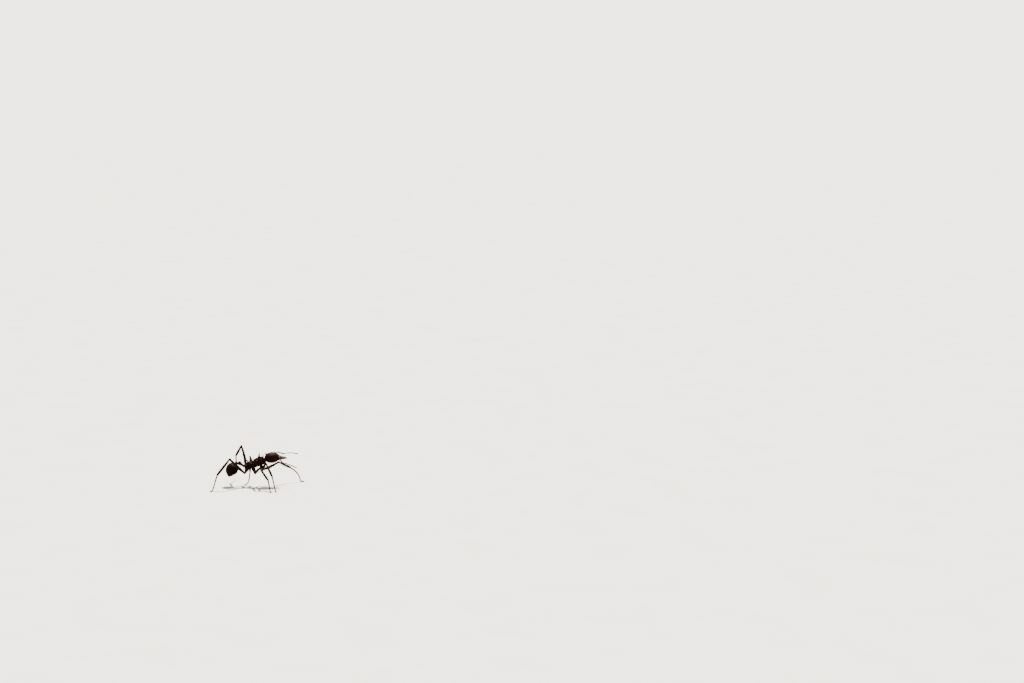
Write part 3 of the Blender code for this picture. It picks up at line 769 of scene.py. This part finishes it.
def newTree(name, *labels):
    # a tree with named inputs, its geometry first and its material last
    tree = bpy.data.node_groups.new(name, "GeometryNodeTree")
    kinds = {"Geometry": "Geometry", "Material": "Material", "Sides": "Int", "Seed": "Int"}
    for label in ("Geometry", *labels, "Material"):
        tree.interface.new_socket(label, in_out="INPUT", socket_type="NodeSocket" + kinds.get(label, "Float"))
    tree.interface.new_socket("Geometry", in_out="OUTPUT", socket_type="NodeSocketGeometry")
    return tree, tree.nodes.new("NodeGroupInput").outputs


def endTree(tree, geometry, material):
    real = put(tree, "RealizeInstances", {"Geometry": geometry})
    done = put(tree, "SetMaterial", {"Geometry": real, "Material": material})
    plug(tree, tree.nodes.new("NodeGroupOutput"), {"Geometry": done})
    return tree


def named(tree, name, kind="FLOAT"):
    return put(tree, "InputNamedAttribute", {"Name": name}, "Attribute", data_type=kind)


def runTree(mesh, tree, values):
    obj = holder(tree.name, mesh)
    mod = obj.modifiers.new("nodes", "NODES")
    mod.node_group = tree
    for item in tree.interface.items_tree:
        if item.in_out == "INPUT" and item.name in values:
            mod[item.identifier] = values[item.name]
    return evaluated(obj)


def facetTree():
    tree, given = newTree("eyeFacets", "Facet Rise")
    # one six-sided cell round each point, raised in steps to a small dome
    shape, tops = put(tree, "DualMesh", {"Mesh": given["Geometry"]}), True
    for share, size in eyes["dome"]:
        lift = number(tree, "MULTIPLY", given["Facet Rise"], share)
        inputs = {"Mesh": shape, "Selection": tops, "Offset Scale": lift, "Individual": True}
        raised = put(tree, "ExtrudeMesh", inputs, None)
        tops = raised["Top"]
        inputs = {"Geometry": raised["Mesh"], "Selection": tops, "Scale": size}
        shape = put(tree, "ScaleElements", inputs)
    return endTree(tree, shape, given["Material"])


def makeEyes():
    tree = facetTree()
    for tag, side in bothSides:
        bm = bmesh.new()
        bmesh.ops.create_icosphere(bm, subdivisions=4, radius=1.0)
        centre = inHead((eyes["at"][0], side * eyes["at"][1], eyes["at"][2]))
        for v in bm.verts:
            v.co = spot(centre + Vector([c * r for c, r in zip(v.co, eyes["radii"])]))
        bmesh.ops.recalc_face_normals(bm, faces=bm.faces)
        mesh = newMesh([])
        bm.to_mesh(mesh)
        bm.free()
        values = {"Facet Rise": eyes["facetRise"], "Material": skins["eyeShell"]}
        eye = runTree(mesh, tree, values)
        give("eyeDome_" + tag, eye, "eyeShell", "eye_shell", "eye_" + tag)


jaw = {
    "rows": {  # distance along: outer edge, inner edge, half thickness
        0.85: (0.8, 0.32, 0.26), 1.15: (0.8, 0.28, 0.25), 1.4: (0.77, 0.17, 0.21),
        1.62: (0.69, 0.12, 0.18), 1.85: (0.55, 0.1, 0.15), 2.06: (0.38, 0.09, 0.12), 2.2: (0.22, 0.09, 0.1),
        2.285: (0.155, 0.13, 0.02)},
    "ends": (0.9, 2.285), "stations": 70, "sides": 40, "droop": -10.0, "hinge": (1.0, -0.08),
    "inset": 0.012, "voxel": 0.0095, "relax": 2, "teeth": 8,
}


def makeJaw(tag, side):
    hinge = Vector((jaw["hinge"][0], 0, jaw["hinge"][1]))
    droop = Matrix.Rotation(radians(-jaw["droop"]), 3, "Y")

    def place(along, across, up):
        return inHead(hinge + droop @ (Vector((along, side * across, up)) - Vector((hinge.x, 0, 0))))

    rings = []
    start, end = jaw["ends"]
    for i in range(jaw["stations"]):
        k = start + (end - start) * (i / (jaw["stations"] - 1)) ** 0.9
        outer, inner, thick = smoothRow(jaw["rows"], k)
        middle, half = (outer + inner) / 2, max((outer - inner) / 2 - jaw["inset"], 0.01)
        thick = max(thick - jaw["inset"], 0.012)
        edge = 0.55 * min(max((k - 1.3) / 0.5, 0.0), 1.0)  # the inner edge thins towards the teeth
        rings.append([])
        for c, s in circle(jaw["sides"]):
            high = thick * s * (1.0 + 0.25 * c) * (1 - edge * max(0.0, -c))
            rings[-1].append(spot(place(k, middle + half * c, high)))
    parts = [meshFrom(rings)]
    for i in range(jaw["teeth"]):
        t, odd = i / (jaw["teeth"] - 1), i % 2
        k = 1.42 + 0.74 * t
        base, tip = place(k - 0.01, 0.2 - 0.05 * t, 0.0), place(k + 0.035, 0.052 - 0.015 * odd, 0.0)
        parts.append(horn(base, tip, 0.04 + 0.016 * t + 0.006 * odd, 0.0))
    skin = fuse(parts, jaw["voxel"], jaw["relax"])
    q = headSpace(skin)
    along, w, up = q[:, 0], np.abs(q[:, 1]), q[:, 2]
    ridge = np.sin(tau * (w + 0.3 * (along - 1.3)) / 0.045) * ramp(w, 0.2, 0.1) * ramp(along, 1.0, 0.2)
    push(skin, (0.0013, ridge), (0.0012, grit(q, 0.03)))
    tooth = ramp(w, 0.2, -0.1) * ramp(along, 1.25, 0.2)
    # painted shade in the grooves between the fine ridges; the teeth take their own darker tone
    paint(skin, tooth * 1.2 + 0.35 * ramp(along, 1.9, 0.3), 0.25 * unit(-ridge))
    fur = ramp(w, 0.3, 0.1) * ramp(along, 1.1, 0.1)
    growOn("jaws", skin, direction((1, 0, -0.2)), fur, unrolled(w - 0.45, up + 0.2, (along - 0.7) / 1.8))
    give("mandibleShell_" + tag, skin, "jawShell", "jaw_shell", "mandible_" + tag)


def makeJaws():
    for tag, side in bothSides:
        makeJaw(tag, side)


mouth = {  # paths in the head's own space, and radii along them
    "lip": ((1.05, 0.0, -0.1), (0.13, 0.27, 0.055)),
    "maxilla": ([(0.66, 0.11, -0.44), (0.9, 0.17, -0.5), (1.12, 0.12, -0.47)],
                {0: 0.07, 0.35: 0.115, 0.75: 0.085, 1: 0.03}),
    "palp": ([(0.98, 0.2, -0.53), (1.08, 0.25, -0.57), (1.19, 0.24, -0.56)],
             {0: 0.026, 0.45: 0.024, 0.5: 0.016, 0.56: 0.024, 1: 0.018}),
    "labium": ([(0.72, 0, -0.5), (0.9, 0, -0.52), (1.06, 0, -0.5)],
               {0: 0.06, 0.4: 0.088, 0.85: 0.07, 1: 0.04}),
}


def mouthPiece(key, side, *shape):
    path, stops = mouth[key]
    return tube([inHead((a, side * b, c)) for a, b, c in path], stops, *shape)


def makeMouth():
    give("labrum", headEllipsoid(*mouth["lip"]), "jawShell", "body_shell")
    for tag, side in reversed(bothSides):
        give("maxilla_" + tag, mouthPiece("maxilla", side, 28, 36, (1.0, 0.45)), "legShell", "body_shell")
        give("palp_" + tag, mouthPiece("palp", side, 14, 20), "legShell", "body_shell")
    give("labium", mouthPiece("labium", 1, 24, 30, (1.0, 0.5)), "softSkin", "body_shell")


legs = {  # where the hip sits, the share of the usual girth, the length of each part and spur
    "front": dict(base=(0.85, 0.38, 3.7), girth=0.98,
                  coxa=1.2, femur=3.15, tibia=2.55, tarsus=3.48, spurs=[0.42]),
    "middle": dict(base=(-0.5, 0.38, 3.3), girth=0.98,
                   coxa=1.25, femur=3.3, tibia=2.7, tarsus=2.9, spurs=[0.24, 0.24]),
    "hind": dict(base=(-1.15, 0.36, 3.25), girth=1.04,
                 coxa=1.25, femur=4.0, tibia=3.4, tarsus=3.3, spurs=[0.24, 0.24]),
}
legTurns = {  # turn towards its own side and rise of each length, the foot's turn, the thigh's bow
    "front_r": dict(coxa=(49, -72), femur=(77, 34), tibia=(44, -56), tarsus=76, bow=(0, 0, 0.1)),
    "middle_r": dict(coxa=(16, -70), femur=(75, 24), tibia=(49, -40.5), tarsus=80, bow=(0, 0, 0.1)),
    "hind_r": dict(coxa=(152, -53), femur=(145, 42), tibia=(149, -45), tarsus=123, bow=(0, 0.05, -0.05)),
    "front_l": dict(coxa=(49, -76), femur=(17, 21), tibia=(33, -26), tarsus=6, bow=(0, 0, -0.1),
                    arch=(0.3, 0, 0.12)),
    "middle_l": dict(coxa=(33, -68), femur=(109, 44), tibia=(94, -76), tarsus=96, bow=(0, 0, 0.1)),
    "hind_l": dict(coxa=(120, -33), femur=(122, 72), tibia=(110, -37), tarsus=85, bow=(0.2, 0, 0),
                   # the raised far hind leg gets painted glow: sunlight shining through it, painted as
                   # lighter, warmer colour
                   raised=(-80, -50), paintedGlow=0.36),
}
shafts = {  # share of the length: radius; and the warmth at both ends
    "coxa": ({0: 0.215, 0.18: 0.285, 0.5: 0.262, 0.84: 0.205, 1: 0.182}, (0.05, 0.2)),
    "femur": ({0: 0.145, 0.07: 0.178, 0.36: 0.232, 0.7: 0.202, 0.92: 0.165, 0.97: 0.178, 1: 0.168},
              (0.18, 0.4)),
    "tibia": ({0: 0.148, 0.045: 0.126, 0.2: 0.16, 0.6: 0.198, 0.92: 0.188, 1: 0.154}, (0.42, 0.62)),
}
foot = {
    "solidHeight": 0.22, "toe": 0.55, "heel": 0.118, "tip": 0.102, "girth": 0.122, "neck": 0.082,
    "ends": (0.0, 0.44, 0.6, 0.725, 0.815, 1.0), "sides": 16, "steps": 12,
}


def legPlaces(pair, tag, side):
    # hip, elbow, knee, ankle, heel and toe
    size, turn = legs[pair], legTurns[pair + "_" + tag]
    at = Vector(size["base"])
    at.y *= side
    places = [at]
    for part in shafts:
        places.append(places[-1] + size[part] * heading(*turn[part], side))
    shank = size["tarsus"] - foot["toe"]
    rises = turn.get("raised") or (-degrees(asin((places[-1].z - foot["solidHeight"]) / shank)), 0.0)
    for length, rise in ((shank, rises[0]), (foot["toe"], rises[1])):
        places.append(places[-1] + length * heading(turn["tarsus"], rise, side))
    if "raised" not in turn:
        places[-2].z, places[-1].z = foot["heel"], foot["tip"]
    return places


def segmentTree():
    tree, given = newTree("segmentsAlongPath", "Sides")
    curve = put(tree, "MeshToCurve", {"Mesh": given["Geometry"]})
    outline = put(tree, "CurvePrimitiveCircle", {"Resolution": given["Sides"], "Radius": 1.0})
    inputs = {"Curve": curve, "Profile Curve": outline, "Scale": named(tree, "girth"), "Fill Caps": True}
    return endTree(tree, put(tree, "CurveToMesh", inputs), given["Material"])


segmentedTube = segmentTree()


def segments(path, spec, stops, neck, finish):
    # one closed tube, pinched in at the end of each segment and kept above the floor
    count, tip = 400, 0.004
    path = smoothPath([spot(p) for p in path], count)
    rows = [(path[0], tip, 0.0, 0.0)]  # point, girth, crease, warmth
    for a, b in zip(spec["ends"], spec["ends"][1:]):
        for i in range(spec["steps"] + 1):
            u = i / spec["steps"]
            s = a + (b - a) * (0.004 + 0.992 * u)
            pinch = neck + (1 - neck) * min(1.0, u / 0.14) ** 0.6
            swell = pinch * (0.84 + 0.16 * u) * (1.0 if u < 0.97 else 0.8)
            k = min(int(s * (count - 1)), count - 2)
            point = path[k].lerp(path[k + 1], s * (count - 1) - k)
            rows.append((point, float(smoothRow(stops, s)) * swell, 0.75 if u < 0.08 else 0.0, u))
    rows.append((path[-1] + (path[-1] - path[-3]).normalized() * 0.012, tip, 0.0, 1.0))
    for p, r, *_ in rows:
        p.z = max(p.z, r + 0.002)
    points, girths, creases, warmths = zip(*rows)
    mesh = newMesh(points, edges=[(i, i + 1) for i in range(len(points) - 1)])
    store(mesh, "girth", girths)
    paint(mesh, warmths, creases)
    return outward(runTree(mesh, segmentedTube, {"Sides": spec["sides"], "Material": skins[finish]}))


def limbFur(mesh, maps, lowest=0.09):
    # none at the far tip, nor underneath near the floor
    height, facing = pointsOf(mesh)[:, 2], normalsOf(mesh)[:, 2]
    upper = np.where((facing < -0.4) & (height < 0.2), 0, 1)
    return ramp(height, lowest, 0.05) * np.clip(1 - maps[:, 1], 0.02, 0.3) / 0.3 * upper


def makeShafts(name, places, girth, paintedGlow, thigh):
    hip, elbow, knee, ankle = places[:4]
    lift = (thigh[1] - elbow).normalized()
    paths = {
        "coxa": [hip.lerp(elbow, s) for s in (0.08, 0.45, 0.8)] + [elbow - (elbow - hip).normalized() * 0.1],
        "femur": [elbow + lift * 0.2] + thigh[1:],
        "tibia": [knee, knee.lerp(ankle, 0.12) + Vector((0, 0, 0.012)), knee.lerp(ankle, 0.5), ankle],
    }
    for part, (stops, (low, high)) in shafts.items():
        stops = {t: r * girth for t, r in stops.items()}
        mesh, lies, maps = sweep(paths[part], stops, 32, 72, (0.94, 1.05))
        q, t = pointsOf(mesh), maps[:, 1]
        furrow = bell(np.abs(maps[:, 0] - 0.25), 0.035) * unit(t * 6) * unit((1 - t) * 6)
        push(mesh, (-0.01, furrow * (part != "tibia")), (0.0014, grit(q, 0.028)), (0.0025, grit(q, 0.1)))
        # dark joints at both ends, and painted shade in the sunken furrow
        dark = 0.55 * bell(t, 0.02) + 0.75 * bell(t - 1.0, 0.018) + 0.25 * furrow
        # the glow share is painted light: the lit leg is painted lighter and warmer, and its painted shade is
        # weakened
        warmth = low + (high - low) * t + paintedGlow + 0.1 * grit(q, 0.5)
        paint(mesh, warmth, unit(dark) * (0.45 if paintedGlow else 1.0))
        growOn("limbs", mesh, lies, limbFur(mesh, maps) * (0.45 if part == "coxa" else 1.0), maps, 0.9)
        give(part + "Shell_" + name, mesh, "legShell", "leg_shell", part + "_" + name)
    ringStops = {0: 0.16 * girth, 0.5: 0.196 * girth, 1: 0.152 * girth}
    ring = tube([elbow + lift * s for s in (-0.02, 0.1, 0.2)], ringStops, 28, 18)
    paint(ring, 0.22 + paintedGlow)
    give("trochanter_" + name, ring, "legShell", "leg_shell")
    kneeSkin = ball(knee + (knee - thigh[2]).normalized() * 0.03, 0.148 * girth)
    give("kneeSkin_" + name, kneeSkin, "softSkin", "leg_shell")


def makeFoot(name, places, size, arch, raised):
    ankle, heel, toe = places[3:]
    walk = [ankle, ankle.lerp(heel, 0.5), heel, toe]
    if arch.length:
        walk = [ankle, ankle.lerp(heel, 0.35) + arch, ankle.lerp(heel, 0.7) + arch * 0.9, heel, toe]
    girth = foot["girth"] * size
    stops = {0: girth * 1.18, 0.3: girth, 0.8: girth * 0.88, 1: girth * 0.94}
    sole = segments(walk, foot, stops, foot["neck"] / foot["girth"], "footShell")
    give("tarsusShell_" + name, sole, "footShell", "leg_shell", "tarsus_" + name)
    root, lies, maps = sweep(walk, {0: girth * 0.8, 1: girth * 0.8}, 12, 60)
    growOn("feet", root, lies, limbFur(root, maps, 0.075), maps)
    aim = (toe - heel).normalized()
    across = aim.cross(Vector((0, 0, 1))).normalized()
    for order, lean in enumerate((-1, 1)):
        base = toe + across * lean * 0.026
        drop = -0.05 if raised else 0.01 - base.z
        path = [base - aim * 0.02, base + aim * 0.055 + across * lean * 0.018 + Vector((0, 0, 0.016)),
                base + aim * 0.12 + across * lean * 0.026 + Vector((0, 0, drop))]
        claw = tube(path, {0: 0.024, 0.4: 0.017, 1: 0.006}, 14, 18)
        give("claw%d_%s" % (order, name), claw, "clawShell", "leg_shell")
    path = [toe + aim * 0.01, toe + aim * 0.062]
    pad = tube(path, {0: 0.022, 0.6: 0.03, 1: 0.02}, 16, 8, (1.0, 0.7))
    give("pad_" + name, pad, "softSkin", "leg_shell")


def makeSpurs(name, places, lengths):
    knee, ankle, heel = places[2:5]
    inner = (heel - ankle).normalized()
    lateral = (knee - ankle).normalized().cross(inner).normalized()
    bend = inner.cross(lateral)
    for order, length in enumerate(lengths):
        offset = lateral * (0.06 * (order * 2 - 1) if len(lengths) == 2 else 0.0)
        path = [ankle + offset + inner * 0.02, ankle + offset * 1.5 + inner * length * 0.55 + bend * 0.085,
                ankle + offset * 1.6 + inner * length + bend * 0.05]
        spur = tube(path, {0: 0.026, 0.5: 0.018, 1: 0.006}, 12, 20)
        give("spur%d_%s" % (order, name), spur, "clawShell", "leg_shell")


def makeLegs():
    for tag, side in bothSides:
        for pair, spec in legs.items():
            name = pair + "_" + tag
            turn, places = legTurns[name], legPlaces(pair, tag, side)
            elbow, knee = places[1:3]
            bow = Vector(turn["bow"])
            thigh = [elbow, elbow.lerp(knee, 0.3) + bow * 0.85, elbow.lerp(knee, 0.65) + bow * 0.9, knee]
            makeShafts(name, places, spec["girth"], turn.get("paintedGlow", 0.0), thigh)
            makeFoot(name, places, spec["girth"], Vector(turn.get("arch", (0, 0, 0))), "raised" in turn)
            makeSpurs(name, places, spec["spurs"])


feelers = {
    "r": dict(socket=(0.52, 0.42, 0.52), elbow=(4.4, 2.0, 4.2), tip=(6.85, 1.75, 3.15), sag=0.1),
    "l": dict(socket=(0.52, -0.42, 0.52), elbow=(4.72, -1.85, 5.05), tip=(7.15, -1.55, 5.0), sag=0.14),
    "scape": {0: 0.07, 0.03: 0.082, 0.07: 0.056, 0.14: 0.078, 0.55: 0.098, 0.9: 0.12, 0.97: 0.112, 1: 0.086},
    "whip": {0: 0.074, 0.12: 0.076, 0.6: 0.086, 0.84: 0.098, 0.93: 0.094, 1: 0.06},
    "ends": (0.0, 0.125, 0.205, 0.285, 0.365, 0.448, 0.532, 0.618, 0.706, 0.798, 1.0),
    "sides": 20, "steps": 14, "neck": 0.62, "socketBall": 0.085,
}


def makeFeelers():
    rise = inHead((0, 0, 1)) - inHead((0, 0, 0))
    for tag in ("r", "l"):
        spec = feelers[tag]
        socket, elbow, tip = inHead(spec["socket"]), Vector(spec["elbow"]), Vector(spec["tip"])
        path = [socket.lerp(elbow, s) + rise * up for s, up in ((0, 0.02), (0.055, 0.13), (0.2, 0.2))]
        path += [socket.lerp(elbow, 0.5) + Vector((0.06, 0, 0.09)), elbow]
        scape, lies, maps = sweep(path, feelers["scape"], 32, 90)
        push(scape, (0.0012, grit(pointsOf(scape), 0.028)))
        along = maps[:, 1]
        paint(scape, 0.3 + 0.25 * along, 0.8 * bell(along - 0.075, 0.02) + 0.7 * bell(along - 1.0, 0.02))
        growOn("limbs", scape, lies, limbFur(scape, maps), maps, 0.75)
        give("scapeShell_" + tag, scape, "legShell", "leg_shell", "scape_" + tag)
        path = [elbow, elbow.lerp(tip, 0.5) + Vector((0, 0, spec["sag"])), tip]
        whip = segments(path, feelers, feelers["whip"], feelers["neck"], "feelerShell")
        give("funiculusShell_" + tag, whip, "feelerShell", "leg_shell", "funiculus_" + tag)
        root, lies, maps = sweep(path, {t: r * 0.88 for t, r in feelers["whip"].items()}, 14, 70)
        growOn("feelers", root, lies, limbFur(root, maps), maps)
        socketSkin = ball(socket - rise * 0.01, feelers["socketBall"])
        give("socketSkin_" + tag, socketSkin, "headShell", "body_shell")


coatInputs = ("Spacing", "Shortest", "Longest", "Girth", "Lean", "Curl", "Spread", "Seed")
coats = {  # slot, then these inputs in turn: four in millimetres, three shares and a seed
    "body": ("body_shell", 0.12, 0.15, 0.28, 0.0048, 0.55, 0.3, 0.25, 11),
    "waist": ("body_shell", 0.11, 0.12, 0.22, 0.0046, 0.5, 0.3, 0.3, 12),
    "gaster": ("gaster_shell", 0.13, 0.14, 0.24, 0.0048, 0.62, 0.34, 0.2, 13),
    "head": ("body_shell", 0.098, 0.08, 0.15, 0.0042, 0.66, 0.3, 0.22, 14),
    "jaws": ("jaw_shell", 0.085, 0.09, 0.15, 0.0042, 0.7, 0.35, 0.2, 15),
    "limbs": ("leg_shell", 0.092, 0.11, 0.19, 0.0046, 0.66, 0.26, 0.2, 16),
    "feet": ("leg_shell", 0.06, 0.06, 0.1, 0.0046, 0.62, 0.2, 0.2, 17),
    "feelers": ("leg_shell", 0.058, 0.05, 0.08, 0.004, 0.62, 0.15, 0.18, 18),
}
hairShape = {"Vertices": 3, "Side Segments": 4, "Radius Top": 0.12, "Radius Bottom": 1.0, "Depth": 1.0}
hairPatch = {"mostDense": 400.0, "wide": 0.0014, "high": 0.0028, "margin": 0.03}


def hairTree():
    tree, given = newTree("coatHairs", *coatInputs)

    def vector(operation, a, b):
        inputs = {0: a, "Scale" if operation == "SCALE" else 1: b}
        return put(tree, "ShaderNodeVectorMath", inputs, "Vector", operation=operation)

    cone = put(tree, "MeshCone", hairShape, "Mesh", fill_type="NGON")
    height = put(tree, "ShaderNodeSeparateXYZ", {0: put(tree, "InputPosition", {})}, "Z")
    hair = put(tree, "StoreNamedAttribute", {"Name": "rise", "Geometry": cone, "Value": height},
               data_type="FLOAT", domain="POINT")
    roots = put(tree, "DistributePointsOnFaces", {
        "Mesh": given["Geometry"], "Distance Min": given["Spacing"], "Density Max": hairPatch["mostDense"],
        "Density Factor": named(tree, "fur"), "Seed": given["Seed"]}, None, distribute_method="POISSON")
    stray = put(tree, "FunctionNodeRandomValue", {0: (-1, -1, -1), 1: (1, 1, 1), "Seed": given["Seed"]},
                data_type="FLOAT_VECTOR")
    lie = named(tree, "lie", "FLOAT_VECTOR")
    upright = vector("SCALE", roots["Normal"], number(tree, "SUBTRACT", 1.0, given["Lean"]))
    aim = vector("ADD", upright, vector("SCALE", lie, given["Lean"]))
    aim = vector("ADD", aim, vector("SCALE", stray, given["Spread"]))
    align = "FunctionNodeAlignRotationToVector"
    turn = put(tree, align, {"Vector": aim}, axis="Z")
    turn = put(tree, align, {"Rotation": turn, "Vector": lie}, axis="X", pivot_axis="Z")
    length = put(tree, "FunctionNodeRandomValue",
                 {2: given["Shortest"], 3: given["Longest"], "Seed": given["Seed"]}, 1, data_type="FLOAT")
    length = number(tree, "MULTIPLY", length, named(tree, "hairSize"))
    size = put(tree, "ShaderNodeCombineXYZ", {"X": given["Girth"], "Y": given["Girth"], "Z": length})
    inputs = {"Points": roots["Points"], "Instance": hair, "Rotation": turn, "Scale": size}
    standing = put(tree, "InstanceOnPoints", inputs)
    # bend each hair towards the lie, the tip most
    rise = named(tree, "rise")
    droop = number(tree, "MULTIPLY", number(tree, "MULTIPLY", rise, rise), given["Curl"])
    reach = number(tree, "MULTIPLY", droop, number(tree, "MULTIPLY", given["Longest"], 0.8))
    real = put(tree, "RealizeInstances", {"Geometry": standing})
    bent = put(tree, "SetPosition", {"Geometry": real, "Offset": vector("SCALE", lie, reach)})
    return endTree(tree, bent, given["Material"])


def coatRoots(bases):
    # all the skins of one coat as one mesh, each with its own square of the unwrap
    meshes, lies, furs, sizes, unwraps = zip(*bases)
    mesh = joined(meshes)
    grid, margin = int(np.ceil(np.sqrt(len(bases)))), hairPatch["margin"]
    maps = np.concatenate([(unit(square) * (1 - 2 * margin) + margin + (k % grid, k // grid)) / grid
                           for k, square in enumerate(unwraps)])
    store(mesh, "lie", np.concatenate(lies), 3)
    store(mesh, "rootUv", np.column_stack((maps, np.zeros(len(maps)))), 3)
    store(mesh, "fur", np.concatenate(furs))
    store(mesh, "hairSize", np.concatenate(sizes))
    return mesh


def bakeMap(mesh):
    # every hair is a tiny patch at its root's place on the skin's unwrap
    root = gather(mesh.attributes["rootUv"].data, "vector")[:, :2]
    rise = gather(mesh.attributes["rise"].data, "value", 1)
    turn = np.arange(len(root)) % hairShape["Vertices"]
    place = root + np.column_stack(((turn - 1) * hairPatch["wide"], (rise - 0.5) * hairPatch["high"]))
    corners = gather(mesh.loops, "vertex_index", 1, int)
    mesh.uv_layers.new(name="OFBake").data.foreach_set("uv", unit(place[corners]).ravel())


def makeCoats():
    total, tree = 0, hairTree()
    for name, bases in coatBases.items():
        slot, *look = coats[name]
        values = dict(zip(coatInputs, look), Material=skins["hair"])
        hairs = runTree(coatRoots(bases), tree, values)
        bakeMap(hairs)
        total += len(hairs.polygons)
        give("hairs_" + name, hairs, "hair", slot)
    print("coat", total, "faces")


for make in (makeTrunk, makeWaist, makeGaster, makeHead, makeEyes, makeJaws, makeMouth, makeLegs, makeFeelers,
             makeCoats):
    make()
    print("made", make.__name__[4:].lower())


view = {"lens": 100.0, "sensor": 36.0, "distance": 476.6, "above": 10.0, "yaw": 5.22, "pitch": 7.14}
light = {
    "sun": 9.6, "sunSize": 3.0, "sunRise": 58.0, "sunTurn": -22.0, "sky": 0.42, "seenSky": 3.7,
    "skyColour": (0.975, 0.975, 0.965, 1.0), "sunColour": (1.0, 0.955, 0.88),
    "floorSeen": ((1.28, 1.24, 1.15), (1.37, 1.335, 1.25)), "floorBounce": (0.26, 0.24, 0.2),
    "floorHalf": 60.0,  # metres
}


def makeCamera():
    data = bpy.data.cameras.new("camera")
    data.lens, data.sensor_width = view["lens"], view["sensor"]
    data.clip_start, data.clip_end = 0.001, 500.0
    camera = holder("camera", data)
    away = heading(0.0, view["above"])
    away.x = -away.x
    camera.location = (planShift + view["distance"] * away) * metres
    camera.rotation_euler = heading(-view["yaw"], -view["pitch"]).to_track_quat("-Z", "Y").to_euler()
    bpy.context.scene.camera = camera


def makeStage():
    mat, tree, shader = newMaterial("ground")
    seen = noise(tree, objectCoords(tree), 9.0, 3.0, 0.5)
    seen = colourRamp(tree, seen, list(zip((0.3, 0.7), light["floorSeen"])))
    # bright to look at, with little bounce
    colour = mix(tree, light["floorBounce"], seen, put(tree, "LightPath", {}, "Is Camera Ray"))
    chalk = put(tree, "BsdfDiffuse", {"Color": colour})
    plug(tree, tree.nodes["Material Output"], {"Surface": chalk})
    tree.nodes.remove(shader)
    far = light["floorHalf"]
    floor = newMesh([(-far, -far, 0), (far, -far, 0), (far, far, 0), (-far, far, 0)], [(0, 1, 2, 3)])
    floor.materials.append(mat)
    ground = holder("ground", floor)
    sun = bpy.data.lights.new("sun", "SUN")
    sun.energy, sun.angle, sun.color = light["sun"], radians(light["sunSize"]), light["sunColour"]
    lamp = holder("sun", sun)
    towards = heading(light["sunTurn"], light["sunRise"])
    lamp.rotation_euler = towards.to_track_quat("Z", "Y").to_euler()
    world = bpy.data.worlds.new("sky")
    world.use_nodes = True
    tree = world.node_tree
    seen = put(tree, "LightPath", {}, "Is Camera Ray")
    strength = span(tree, seen, 0.0, 1.0, light["sky"], light["seenSky"])
    plug(tree, tree.nodes["Background"], {"Color": light["skyColour"], "Strength": strength})
    bpy.context.scene.world = world


makeCamera()
makeStage()
bpy.context.view_layer.update()
